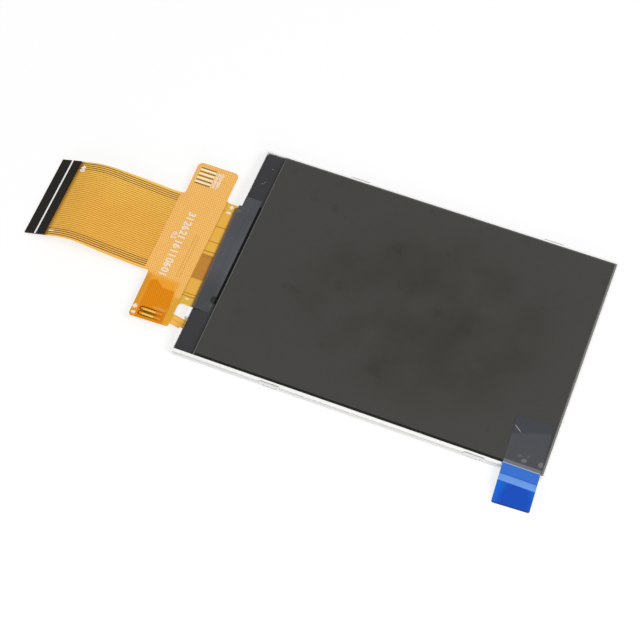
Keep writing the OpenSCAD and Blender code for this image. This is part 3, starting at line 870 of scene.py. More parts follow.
@dataclass(frozen=True)
class BurntEdge(Finish):
    """Dark brown rim of a solder slot, which pales towards the lamps' lead."""

    mottle: float = 0.35
    mottle_size: float = 0.6 * MM
    pale: Colour = linear(206, 116, 20)
    pale_from: Pair = mm(-48.6, -45.8)

    def material(self, name: str) -> bpy.types.Material:
        """Builds the material.

        Args:
            name: the material's name.

        Returns:
            The new material.
        """
        recipe = Recipe(name, {"Specular IOR Level": self.specular})
        blots = recipe.vary(self.colour, recipe.noise(self.mottle_size, CLOUDS), self.mottle)
        tone = recipe.mix(recipe.step(recipe.axis("X"), *self.pale_from), blots, self.pale)
        return recipe.finish(tone, self.roughness)


@dataclass(frozen=True)
class GreyTape(Finish):
    """Dull tape with a fine grain, painted shade towards both ends, a painted shadow in a dent, and an
    edge that the amber film under it stains.
    """

    gloss_spread: float = 0.16
    fine: float = 0.12
    fine_size: float = 0.3 * MM
    fine_depth: float = 0.006 * MM
    # Painted shade towards the tape's near and far ends
    near_tone: Colour = linear(68, 69, 72)
    near_from: Pair = mm(-5.0, -11.0)
    far_tone: Colour = linear(75, 76, 81)
    far_from: Pair = mm(0.0, 7.0)
    # A painted shadow of a dent in the tape
    smudge: Colour = (0.004, 0.004, 0.004)
    smudge_shown: float = 0.85
    smudge_at: Oval = (mm(-36.7, -12.9), mm(1.3, 1.4), 0.0)
    stain: Colour = linear(114, 90, 72)
    stain_shown: float = 0.85
    stain_from: Pair = mm(-40.55, -41.25)
    stain_corner: Oval = (mm(-40.95, 9.95), mm(1.0, 0.6), 0.0)

    def material(self, name: str) -> bpy.types.Material:
        """Builds the material.

        Args:
            name: the material's name.

        Returns:
            The new material.
        """
        recipe = Recipe(name, {"IOR": FILM_INDEX})
        cloud = recipe.noise(self.mottle_size, CLOUDS)
        fine = recipe.noise(self.fine_size, CLOUDS)
        tone = recipe.vary(recipe.vary(self.colour, cloud, self.mottle), fine, self.fine)
        y = recipe.axis("Y")
        # Painted shade: darker towards both ends
        tone = recipe.mix(recipe.step(y, *self.near_from), tone, self.near_tone)
        tone = recipe.mix(recipe.step(y, *self.far_from), tone, self.far_tone)
        # Painted shadow of a dent beside the front glass
        tone = recipe.tint(tone, recipe.spot(*self.smudge_at), self.smudge_shown, self.smudge)
        from_edge = recipe.maths("MULTIPLY_ADD", y, TAPE_LEAN, recipe.axis("X"))
        stain = recipe.step(from_edge, *self.stain_from)
        stain = recipe.maths("MAXIMUM", stain, recipe.spot(*self.stain_corner))
        stain = recipe.maths("MULTIPLY", stain, recipe.step(y, *SHADE_AND_STAIN_END))
        tone = recipe.tint(tone, stain, self.stain_shown, self.stain)
        recipe.relief(fine, self.fine_depth)
        return recipe.finish(tone, self.gloss(recipe, cloud))


@dataclass(frozen=True)
class BlueFilm(Finish):
    """Blue film. Stuck down it looks grey, and free of the display it is pale blue, with a painted
    highlight round its bend, and deep blue below it with painted shade along its free end. It has a
    crease and bubbles. U runs from its free end."""

    specular: float = 0.2
    index: float = 1.45
    stuck: Colour = under_sheen(79, 80, 84, BLUE_SHEEN)
    clear: Colour = under_sheen(70, 72, 78, BLUE_SHEEN)
    clear_at: Pair = mm(36.4, -18.6)
    clear_slope: float = 0.3
    clear_fade: Pair = mm(-0.4, 0.4)
    wander: float = 2.4 * MM
    wander_size: float = 2.5 * MM
    haze: float = 0.06
    haze_size: float = 0.7 * MM
    blister: Colour = linear(128, 130, 135)
    blister_turn: float = 20
    blisters_at: tuple[tuple[Pair, Pair, float], ...] = (
        (mm(36.35, -25.0), mm(0.75, 0.55), 0.5),
        (mm(35.2, -24.2), mm(0.6, 0.4), 0.22),
        (mm(39.95, -24.7), mm(0.85, 0.8), 0.5),
        (mm(37.0, -23.8), mm(0.45, 0.35), 0.22),
    )
    wrinkle_size: Pair = mm(1.3, 0.16)
    wrinkle_turn: float = -37
    # A painted shadow of a crease, then the crease's pale line
    wrinkles: tuple[tuple[Pair, float, Colour], ...] = (
        (mm(33.3, -18.5), 0.6, linear(46, 46, 48)),
        (mm(33.0, -18.5), 0.8, linear(152, 152, 154)),
    )
    lifted: Colour = under_sheen(112, 113, 118, BLUE_SHEEN)
    lifted_from: Pair = mm(-25.79, -25.95)
    free_from: Pair = mm(-26.63, -26.87)
    free_clear: float = 0.12
    free_gloss: float = 0.25
    lip: Colour = linear(176, 188, 206)
    lip_shown: float = 0.7
    lip_at: Pair = mm(-26.8, -26.6)
    lip_soft: float = 0.1 * MM
    flat: Colour = under_sheen(60, 117, 211, BLUE_SHEEN)
    crease_shown: float = 0.3
    crease_at: Pair = mm(-29.24, -29.0)
    crease_soft: float = 0.12 * MM
    # A painted highlight round the bend
    bent: Colour = under_sheen(112, 160, 234, BLUE_SHEEN)
    bent_at: Pair = mm(-30.72, -29.32)
    bent_soft: float = 0.2 * MM
    streak: float = 0.08
    streak_pitch: float = 0.5 * MM
    streak_turn: float = 35
    side: Colour = under_sheen(12, 100, 206, BLUE_SHEEN)
    side_beyond: Oval = (mm(37.2, -33.9), mm(4.4, 5.6), 0.0)
    below_from: Pair = mm(-30.62, -30.82)
    # Painted shade along the free end's edge
    hem: Colour = linear(34, 46, 104)
    hem_shown: float = 0.8
    hem_from: Pair = mm(0.42, 0.14)

    def material(self, name: str) -> bpy.types.Material:
        """Builds the material.

        Args:
            name: the material's name.

        Returns:
            The new material.
        """
        recipe = Recipe(name, {"IOR": self.index, "Specular IOR Level": self.specular})
        y = recipe.axis("Y")
        haze = self.stuck_tone(recipe, y)
        free = recipe.step(y, *self.free_from)
        tone = recipe.mix(free, haze, self.free_tone(recipe, y))
        lip = recipe.band(y, *self.lip_at, self.lip_soft)
        tone = recipe.tint(tone, lip, self.lip_shown, self.lip)
        clear = recipe.maths("MULTIPLY", free, self.free_clear)
        recipe.put(recipe.shader.inputs["Transmission Weight"], clear)
        gloss = recipe.maths("MULTIPLY_ADD", free, self.free_gloss, self.roughness)
        return recipe.finish(tone, gloss)

    def stuck_tone(self, recipe: Recipe, y: Socket) -> Socket:
        """Colours the stuck film: hazy, clearer beyond a wandering slanting line, with bubbles, a pale
        crease line with a painted shadow beside it, and paler where it lifts off at the display's edge.

        Args:
            recipe: the material that is being laid.
            y: the Object Y.

        Returns:
            The colour.
        """
        cloud = recipe.noise(self.wander_size, CLOUDS)
        wander = recipe.maths("MULTIPLY_ADD", cloud, self.wander, -self.wander / 2)
        slant = recipe.maths("MULTIPLY_ADD", recipe.axis("X"), -self.clear_slope, y)
        line = self.clear_at[1] - self.clear_slope * self.clear_at[0]
        beyond = recipe.maths("SUBTRACT", recipe.maths("ADD", slant, wander), line)
        tone = recipe.mix(recipe.step(beyond, *self.clear_fade), self.stuck, self.clear)
        tone = recipe.vary(tone, recipe.noise(self.haze_size, CLOUDS), self.haze)
        tone = recipe.mix(self.blisters(recipe), tone, self.blister)
        # Painted crease shadow and the pale crease line
        for place, shown, colour in self.wrinkles:
            crease_mark = recipe.spot(place, self.wrinkle_size, self.wrinkle_turn)
            tone = recipe.tint(tone, crease_mark, shown, colour)
        return recipe.mix(recipe.step(y, *self.lifted_from), tone, self.lifted)

    def free_tone(self, recipe: Recipe, y: Socket) -> Socket:
        """Colours the free film: flat, with a painted highlight round its bend with slanting streaks,
        below the bend, and with painted shade along its free end.

        Args:
            recipe: the material that is being laid.
            y: the Object Y.

        Returns:
            The colour.
        """
        cloud = recipe.noise(self.wander_size, CLOUDS)
        deep = recipe.vary(self.colour, cloud, self.mottle)
        deep = recipe.mix(recipe.spot(*self.side_beyond), self.side, deep)
        slant = recipe.axis("X", recipe.place(turn=self.streak_turn))
        streak = recipe.maths("MULTIPLY", recipe.wave(slant, self.streak_pitch), cloud)
        # Painted highlight round the bend
        bent = recipe.vary(self.bent, streak, self.streak)
        crease = recipe.band(y, *self.crease_at, self.crease_soft)
        flat = recipe.tint(self.flat, crease, self.crease_shown, self.colour)
        tone = recipe.mix(recipe.band(y, *self.bent_at, self.bent_soft), flat, bent)
        tone = recipe.mix(recipe.step(y, *self.below_from), tone, deep)
        to_end, _ = recipe.surface()
        # Painted shade along the free end
        return recipe.tint(tone, recipe.step(to_end, *self.hem_from), self.hem_shown, self.hem)

    def blisters(self, recipe: Recipe) -> Socket:
        """Masks the bubbles under the film near the display's edge, each by how much it shows.

        Args:
            recipe: the material that is being laid.

        Returns:
            The mask.
        """
        mask: Value = 0.0
        for place, size, shown in self.blisters_at:
            bubble = recipe.spot(place, size, self.blister_turn)
            mask = recipe.maths("MAXIMUM", mask, recipe.maths("MULTIPLY", bubble, shown))
        return mask


class Dress(Enum):
    """The finish of each kind of surface."""

    STEEL = RolledSteel((0.78, 0.78, 0.77), 0.32, metallic=0.8, mottle_size=14 * MM)
    WHITE = Finish((0.92, 0.915, 0.905), 0.42, mottle=0.02)
    REFLECTOR = Finish((0.88, 0.89, 0.9), 0.2, mottle=0.02)
    GUIDE = ClearFilm((0.92, 0.95, 0.96), 0.05)
    DIFFUSER = Finish((0.85, 0.85, 0.84), 0.6, mottle=0.02)
    PRISM = ClearFilm((0.88, 0.9, 0.92), 0.15, transmission=0.7, rib_pitch=0.1 * MM)
    BLACK_TAPE = Finish((0.012, 0.012, 0.013), 0.5)
    POLARIZER = Finish((0.014, 0.014, 0.013), 0.2)
    DISPLAY = DisplayFilm(under_sheen(73.5, 72.8, 70.5), 0.3)
    FRONT_GLASS = PanelGlass((0.016, 0.0155, 0.0145), 0.1)
    LEDGE_GLASS = LedgeGlass(under_sheen(66, 66, 68), 0.16)
    CHIP = Finish((0.03, 0.03, 0.035), 0.1)
    RESIN = Finish((0.42, 0.36, 0.24), 0.4)
    SHEET = AmberSheet(under_sheen(249, 195, 111, 0.004), 0.38)
    TAIL = AmberTail(under_sheen(251, 195, 92), 0.36)
    LEAD = LampLead(under_sheen(240, 184, 80), 0.36)
    FINE_TRACK = Finish(under_sheen(206, 142, 44), 0.36, mottle=0.1, mottle_size=3 * MM)
    WIDE_TRACK = Finish(under_sheen(142, 92, 54), 0.34, mottle=0.1, mottle_size=3 * MM)
    GOLD = Finish((0.85, 0.62, 0.26), 0.22, metallic=1.0)
    PAD = Finish(under_sheen(252, 238, 196), 0.3, mottle=0.06, mottle_size=1 * MM)
    STIFFENER = Finish(under_sheen(42, 38, 34), 0.36)
    SOLDER = Finish((0.92, 0.72, 0.12), 0.34, metallic=0.2, mottle=0.25, mottle_size=0.5 * MM)
    TAPE = GreyTape(under_sheen(85, 87, 92), 0.42)
    BLUE = BlueFilm(under_sheen(14, 76, 184, 0.005), 0.2, mottle=0.05)
    INK = Finish((0.95, 0.94, 0.92), 0.5, mottle=0.03, mottle_size=0.4 * MM)
    WORN_INK = Finish(linear(240, 224, 204), 0.5, mottle=0.06, mottle_size=0.4 * MM)
    DARK_PRINT = Finish(linear(152, 110, 56), 0.5, mottle=0.2, mottle_size=0.5 * MM, specular=0.1)
    BURNT_EDGE = BurntEdge(linear(104, 52, 6), 0.5, specular=0.1)
    LAMP = Finish((0.86, 0.78, 0.42), 0.3)

    def apply(self, piece: bpy.types.Object) -> None:
        """Puts this finish on a piece as its only material.

        Args:
            piece: the piece.
        """
        name = "look_" + self.name.lower()
        made = bpy.data.materials.get(name) or self.value.material(name)
        piece.data.materials.clear()
        piece.data.materials.append(made)


# ---------------------------------------------------------------- meshes


def grid_quads(rows: int, columns: int, first: int = 0) -> np.ndarray:
    """Quads of a grid of points, facing along row direction times column direction.

    Args:
        rows, columns: the grid's size in points.
        first: the index of the grid's first point.

    Returns:
        An array of four indices a quad.
    """
    index = np.arange(rows * columns).reshape(rows, columns) + first
    corners = (index[:-1, :-1], index[1:, :-1], index[1:, 1:], index[:-1, 1:])
    return np.stack(corners, -1).reshape(-1, 4)


def slab(top: np.ndarray, bottom: np.ndarray) -> Mesh:
    """Closes the space between two grids of the same shape with walls round their borders.

    Args:
        top, bottom: points of rows by columns by 3.

    Returns:
        The points and the faces.
    """
    rows, columns = top.shape[:2]
    count = rows * columns
    index = np.arange(count).reshape(rows, columns)
    rim = np.concatenate([index[:-1, 0], index[-1, :-1], index[:0:-1, -1], index[0, :0:-1]])
    after = np.roll(rim, -1)
    walls = np.stack([rim, rim + count, after + count, after], -1)
    faces = [grid_quads(rows, columns), grid_quads(rows, columns, count)[:, ::-1], walls]
    return np.concatenate([top.reshape(-1, 3), bottom.reshape(-1, 3)]), np.concatenate(faces).tolist()


def merged(parts: list[Mesh]) -> Mesh:
    """Joins several meshes.

    Args:
        parts: the meshes.

    Returns:
        The points and the faces of them all.
    """
    starts = np.cumsum([0] + [len(points) for points, _ in parts[:-1]])
    faces = [[i + int(start) for i in face] for start, (_, part) in zip(starts, parts) for face in part]
    return np.concatenate([points for points, _ in parts]), faces


def rounded(corners: list[tuple[float, float, float]]) -> np.ndarray:
    """An outline whose corners are arcs tangent to both sides.

    An arc's centre lies on the corner's bisector at radius over the sine of half the angle, and
    the arc starts at radius over the tangent of half the angle from the corner.

    Args:
        corners: x, y and radius of each corner, anticlockwise.

    Returns:
        The outline's points.
    """
    spots = np.array([c[:2] for c in corners], float)
    pieces = []
    neighbours = zip(np.roll(spots, 1, 0), spots, np.roll(spots, -1, 0), corners)
    for before, here, after, (_, _, radius) in neighbours:
        if radius == 0:
            pieces.append(here[None])
            continue
        back = (before - here) / np.linalg.norm(before - here)
        ahead = (after - here) / np.linalg.norm(after - here)
        half = math.acos(float(np.clip(back @ ahead, -1, 1))) / 2
        middle = here + (back + ahead) / np.linalg.norm(back + ahead) * radius / math.sin(half)
        start = here + back * radius / math.tan(half) - middle
        side = -math.copysign(1, back[0] * ahead[1] - back[1] * ahead[0])
        turn = side * np.linspace(0, math.pi - 2 * half, ARC_POINTS)
        swing = np.stack([np.cos(turn), np.sin(turn)], -1)
        arc = np.stack([swing @ [start[0], -start[1]], swing @ [start[1], start[0]]], -1)
        pieces.append(middle + arc)
    return np.concatenate(pieces)


def box_loop(x: Pair, y: Pair, radius: float = 0.0) -> np.ndarray:
    """The outline of a rectangle in plan, anticlockwise, from its sides and its corners' radius."""
    places = ((x[0], y[0]), (x[1], y[0]), (x[1], y[1]), (x[0], y[1]))
    return rounded([(*place, radius) for place in places])


def plate(loops: list[np.ndarray], low: float, high: float) -> Mesh:
    """A flat plate with straight sides from its outline, and from a loop for each hole.

    Args:
        loops: the outline anticlockwise, then each hole clockwise.
        low, high: the heights of its two faces.

    Returns:
        The points and the faces.
    """
    flat = np.concatenate(loops)
    count = len(flat)
    spots = [[Vector((*p, 0.0)) for p in loop] for loop in loops]
    cap = np.array(tessellate_polygon(spots))
    a, b, c = flat[cap[:, 0]], flat[cap[:, 1]], flat[cap[:, 2]]
    area = (b[:, 0] - a[:, 0]) * (c[:, 1] - a[:, 1]) - (b[:, 1] - a[:, 1]) * (c[:, 0] - a[:, 0])
    cap[area < 0] = cap[area < 0][:, ::-1]
    walls, first = [], 0
    for loop in loops:
        ring = np.arange(len(loop)) + first
        after = np.roll(ring, -1)
        walls.append(np.stack([ring + count, ring, after, after + count], -1))
        first += len(loop)
    heights = np.repeat([low, high], count)[:, None]
    faces = (cap + count).tolist() + cap[:, ::-1].tolist() + np.concatenate(walls).tolist()
    return np.hstack([np.concatenate([flat, flat]), heights]), faces


def ease(value: np.ndarray) -> np.ndarray:
    """The smooth step: 3t squared less 2t cubed, with t held between 0 and 1."""
    t = np.clip(value, 0, 1)
    return t * t * (3 - 2 * t)


def flat_type(text: str, size: float) -> Mesh:
    """Sets a plain bold number flat in plan about its middle, with its doubled points joined.

    Args:
        text: the number.
        size: the height of a line of type.

    Returns:
        The points in plan and the faces.
    """
    curve = bpy.data.curves.new("numeral", "FONT")
    curve.body = text
    curve.size = size
    curve.resolution_u = TYPE_CURVE_CELLS
    curve.offset = size * TYPE_WEIGHT
    curve.align_x = curve.align_y = "CENTER"
    holder = bpy.data.objects.new("numeral", curve)
    flat = bpy.data.meshes.new_from_object(holder)
    spots = np.empty(len(flat.vertices) * 3)
    flat.vertices.foreach_get("co", spots)
    spots = spots.reshape(-1, 3)[:, :2]
    faces = [list(face.vertices) for face in flat.polygons]
    bpy.data.objects.remove(holder)
    bpy.data.curves.remove(curve)
    bpy.data.meshes.remove(flat)
    rough = np.round(spots / size, TYPE_DIGITS)
    _, first, weld = np.unique(rough, axis=0, return_index=True, return_inverse=True)
    weld = weld.ravel()
    faces = [[int(weld[i]) for i in face] for face in faces]
    return spots[first], [face for face in faces if len(set(face)) == len(face)]


def numeral(text: str, size: float, lay: Lay, lift: float, stretch: float = 1.0) -> Mesh:
    """Prints a plain bold number as thin closed plates.

    Args:
        text: the number.
        size: the height of a line of type.
        lay: puts flat points, right of and above the number's middle, at a lift.
        lift: where the print's lower face lies.
        stretch: how much wider than usual the type is.

    Returns:
        The points and the faces.
    """
    spots, faces = flat_type(text, size)
    spots = spots * [stretch, 1.0]
    pairs = {pair for face in faces for pair in zip(face, face[1:] + face[:1])}
    count = len(spots)
    walls = [[a, b, b + count, a + count] for a, b in pairs if (b, a) not in pairs]
    caps = [[i + count for i in face] for face in faces] + [face[::-1] for face in faces]
    return np.concatenate([lay(spots, lift), lay(spots, lift + PRINT_DEPTH)]), caps + walls


def make(
    name: str, mesh: Mesh, dress: Dress, replaces: tuple[str, ...] = ()
) -> bpy.types.Object:
    """Makes a piece that rides on the module.

    Args:
        name: the piece's name.
        mesh: its points and faces.
        dress: its finish.
        replaces: the CAD nodes that it stands for.

    Returns:
        The new object.
    """
    points, faces = mesh
    data = bpy.data.meshes.new(name)
    data.from_pydata(points.tolist(), [], faces)
    data.validate()
    data.polygons.foreach_set("use_smooth", np.ones(len(data.polygons), bool))
    data.set_sharp_from_angle(angle=math.radians(SMOOTH_ANGLE))
    piece = bpy.data.objects.new(name, data)
    bpy.context.scene.collection.objects.link(piece)
    dress.apply(piece)
    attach(piece, BODY)
    if replaces:
        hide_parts(*replaces)
    LOG.info("%s: %d points, %d faces, %s", name, len(points), len(faces), dress.name)
    return piece


def set_surface(piece: bpy.types.Object, along: np.ndarray, across: np.ndarray) -> None:
    """Stores two values a point as the U and V of a slab between two grids.

    Args:
        piece: the slab.
        along: U on each grid.
        across: V on each grid.
    """
    pair = np.broadcast_arrays(along, across)
    values = np.stack([np.tile(v.ravel(), 2) for v in pair], -1)
    corners = np.empty(len(piece.data.loops), np.int32)
    piece.data.loops.foreach_get("vertex_index", corners)
    layer = piece.data.uv_layers.new(name="surface")
    layer.data.foreach_set("uv", values[corners].astype(np.float32).ravel())


def dress_nodes(dresses: dict[str, Dress]) -> None:
    """Dresses the CAD nodes that are named."""
    for name, dress in dresses.items():
        dress.apply(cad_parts[name])


# ---------------------------------------------------------------- paths


@dataclass(frozen=True)
class Ribbon:
    """A ribbon that runs straight in plan and bends only up and down.

    Each step is a length and the turn over that length, in degrees, with up counted as positive.
    """

    start: tuple[float, float, float]
    heading: float
    steps: tuple[tuple[float, float], ...]

    def length(self) -> float:
        """The ribbon's whole length."""
        return sum(length for length, _ in self.steps)

    @staticmethod
    def advance(angle: float, bend: float, part: np.ndarray) -> np.ndarray:
        """Goes part of a step. On an arc of radius r from angle a to b the reach grows by
        r (sin b - sin a) and the height by r (cos a - cos b).

        Args:
            angle: the slope at the step's start, in radians.
            bend: the turn over each metre, in radians.
            part: the distances gone in the step.

        Returns:
            The growth in reach, in height and in slope.
        """
        now = angle + bend * part
        if bend == 0:
            return np.array([part * math.cos(angle), part * math.sin(angle), now - angle])
        reach = (np.sin(now) - math.sin(angle)) / bend
        height = (math.cos(angle) - np.cos(now)) / bend
        return np.array([reach, height, now - angle])

    def walk(self, distance: np.ndarray) -> tuple[np.ndarray, np.ndarray, np.ndarray]:
        """Follows the path, step by step.

        Args:
            distance: distances along the path.

        Returns:
            The reach, the height and the slope in radians at each distance.
        """
        spots = np.zeros((3, *np.shape(distance)))
        start = np.zeros(3)
        begun = 0.0
        for length, turn in self.steps:
            bend = math.radians(turn) / length
            part = np.where(distance > begun + length, length, distance - begun)
            here = start.reshape(3, *(1,) * np.ndim(distance)) + self.advance(start[2], bend, part)
            spots = np.where((distance >= begun) | (begun == 0), here, spots)
            start = start + self.advance(start[2], bend, np.array(length))
            begun += length
        return spots[0], spots[1], spots[2]

    def place(self, distance: np.ndarray, across: np.ndarray, lift: np.ndarray | float) -> np.ndarray:
        """Puts points on the ribbon.

        Args:
            distance: distances along it.
            across: distances to the right of its heading.
            lift: heights above its lower face, square to it.

        Returns:
            The points.
        """
        distance, across, lift = np.broadcast_arrays(distance, across, lift)
        reach, height, slope = self.walk(distance)
        reach = reach - lift * np.sin(slope)
        turn = math.radians(self.heading)
        x = self.start[0] + reach * math.cos(turn) + across * math.sin(turn)
        y = self.start[1] + reach * math.sin(turn) - across * math.cos(turn)
        return np.stack([x, y, self.start[2] + height + lift * np.cos(slope)], -1)

    def strip(self, span: Pair, across: Pair, lift: Pair, cells: tuple[int, int]) -> Mesh:
        """A closed strip on the ribbon.

        Args:
            span: where it starts and ends along the ribbon.
            across: its two sides.
            lift: the heights of its lower and upper face.
            cells: the number of cells across and along.

        Returns:
            The points and the faces.
        """
        side = np.linspace(*across, cells[0] + 1)[:, None]
        run = np.linspace(*span, cells[1] + 1)[None, :]
        return slab(self.place(run, side, lift[1]), self.place(run, side, lift[0]))


# ---------------------------------------------------------------- the module


@dataclass
class Housing:
    """The steel tray, the moulded frame and all that lies sealed between them."""

    dresses: dict[str, Dress] = field(
        default_factory=lambda: {
            "steel_tray": Dress.STEEL,
            "moulded_frame": Dress.WHITE,
            "reflector_film": Dress.REFLECTOR,
            "light_guide": Dress.GUIDE,
            "diffuser_film": Dress.DIFFUSER,
            "lower_prism_film": Dress.PRISM,
            "upper_prism_film": Dress.PRISM,
            "rim_tape": Dress.BLACK_TAPE,
        }
    )
    lamp_prefix: str = "lamp_"

    def build(self) -> None:
        """Dresses the CAD nodes."""
        ends = {name: name.removeprefix(self.lamp_prefix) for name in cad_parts}
        lamps = {name: Dress.LAMP for name, end in ends.items() if end.isdigit()}
        dress_nodes(self.dresses | lamps)


@dataclass
class Panel:
    """The two sheets of glass with their polarizers and what is bonded on the ledge."""

    dresses: dict[str, Dress] = field(
        default_factory=lambda: {
            "rear_polarizer": Dress.POLARIZER,
            "front_polarizer": Dress.POLARIZER,
            "cover_film": Dress.DISPLAY,
            "front_glass": Dress.FRONT_GLASS,
            "rear_glass": Dress.LEDGE_GLASS,
            "driver_chip": Dress.CHIP,
            "bond_film": Dress.RESIN,
        }
    )

    def build(self) -> None:
        """Dresses the CAD nodes."""
        dress_nodes(self.dresses)


@dataclass
class Tape:
    """The grey tape over the driver chip: a sheet that drapes from the neck over the chip."""

    over_flex: float = -41.25 * MM
    over_glass: float = -41.1 * MM
    right: float = -36.85 * MM
    near: float = -16.12 * MM
    far: float = 14.1 * MM
    flex_end: float = -39.2 * MM
    thickness: float = 0.09 * MM
    clearance: float = 0.004 * MM
    drape: float = 0.9 * MM
    end_drape: float = 2.2 * MM
    corner_cut: float = 1.15 * MM
    cells: tuple[int, int] = (60, 240)

    def height(self, x: np.ndarray, y: np.ndarray) -> np.ndarray:
        """The height of the tape's lower face. It eases down from the neck to the glass, and up to
        the chip's top between the chip's two ends.

        Args:
            x, y: places in plan.

        Returns:
            The heights.
        """
        flex_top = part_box("test_pads")[0][2]
        chip_low, chip_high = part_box("driver_chip")
        glass = chip_low[2]
        floor = glass + (flex_top - glass) * (1 - ease((x - self.flex_end) / self.drape))
        rise = ease((x - self.flex_end) / (chip_low[0] - self.flex_end))
        fall = 1 - ease((x - chip_high[0]) / (self.right - chip_high[0]))
        ends = ease((y - chip_low[1] + self.end_drape) / self.end_drape)
        ends = ends * (1 - ease((y - chip_high[1]) / self.end_drape))
        return floor + (chip_high[2] - floor) * rise * fall * ends + self.clearance

    def build(self) -> None:
        """Makes the tape. Its left edge leans over the neck, and eases to the glass in a cut
        corner at the neck's far side."""
        y = np.linspace(self.near, self.far, self.cells[1] + 1)[None, :]
        share = np.linspace(0, 1, self.cells[0] + 1)[:, None]
        left = self.over_flex - TAPE_LEAN * y
        past = (y - NECK_FAR) / self.corner_cut + 1
        left = left + (self.over_glass - left) * ease(past)
        x = left + share * (self.right - left)
        y = np.broadcast_to(y, x.shape)
        low = self.height(x, y)
        grids = [np.stack([x, y, low + lift], -1) for lift in (self.thickness, 0.0)]
        make("tape_over_chip", slab(*grids), Dress.TAPE, ("ledge_tape",))


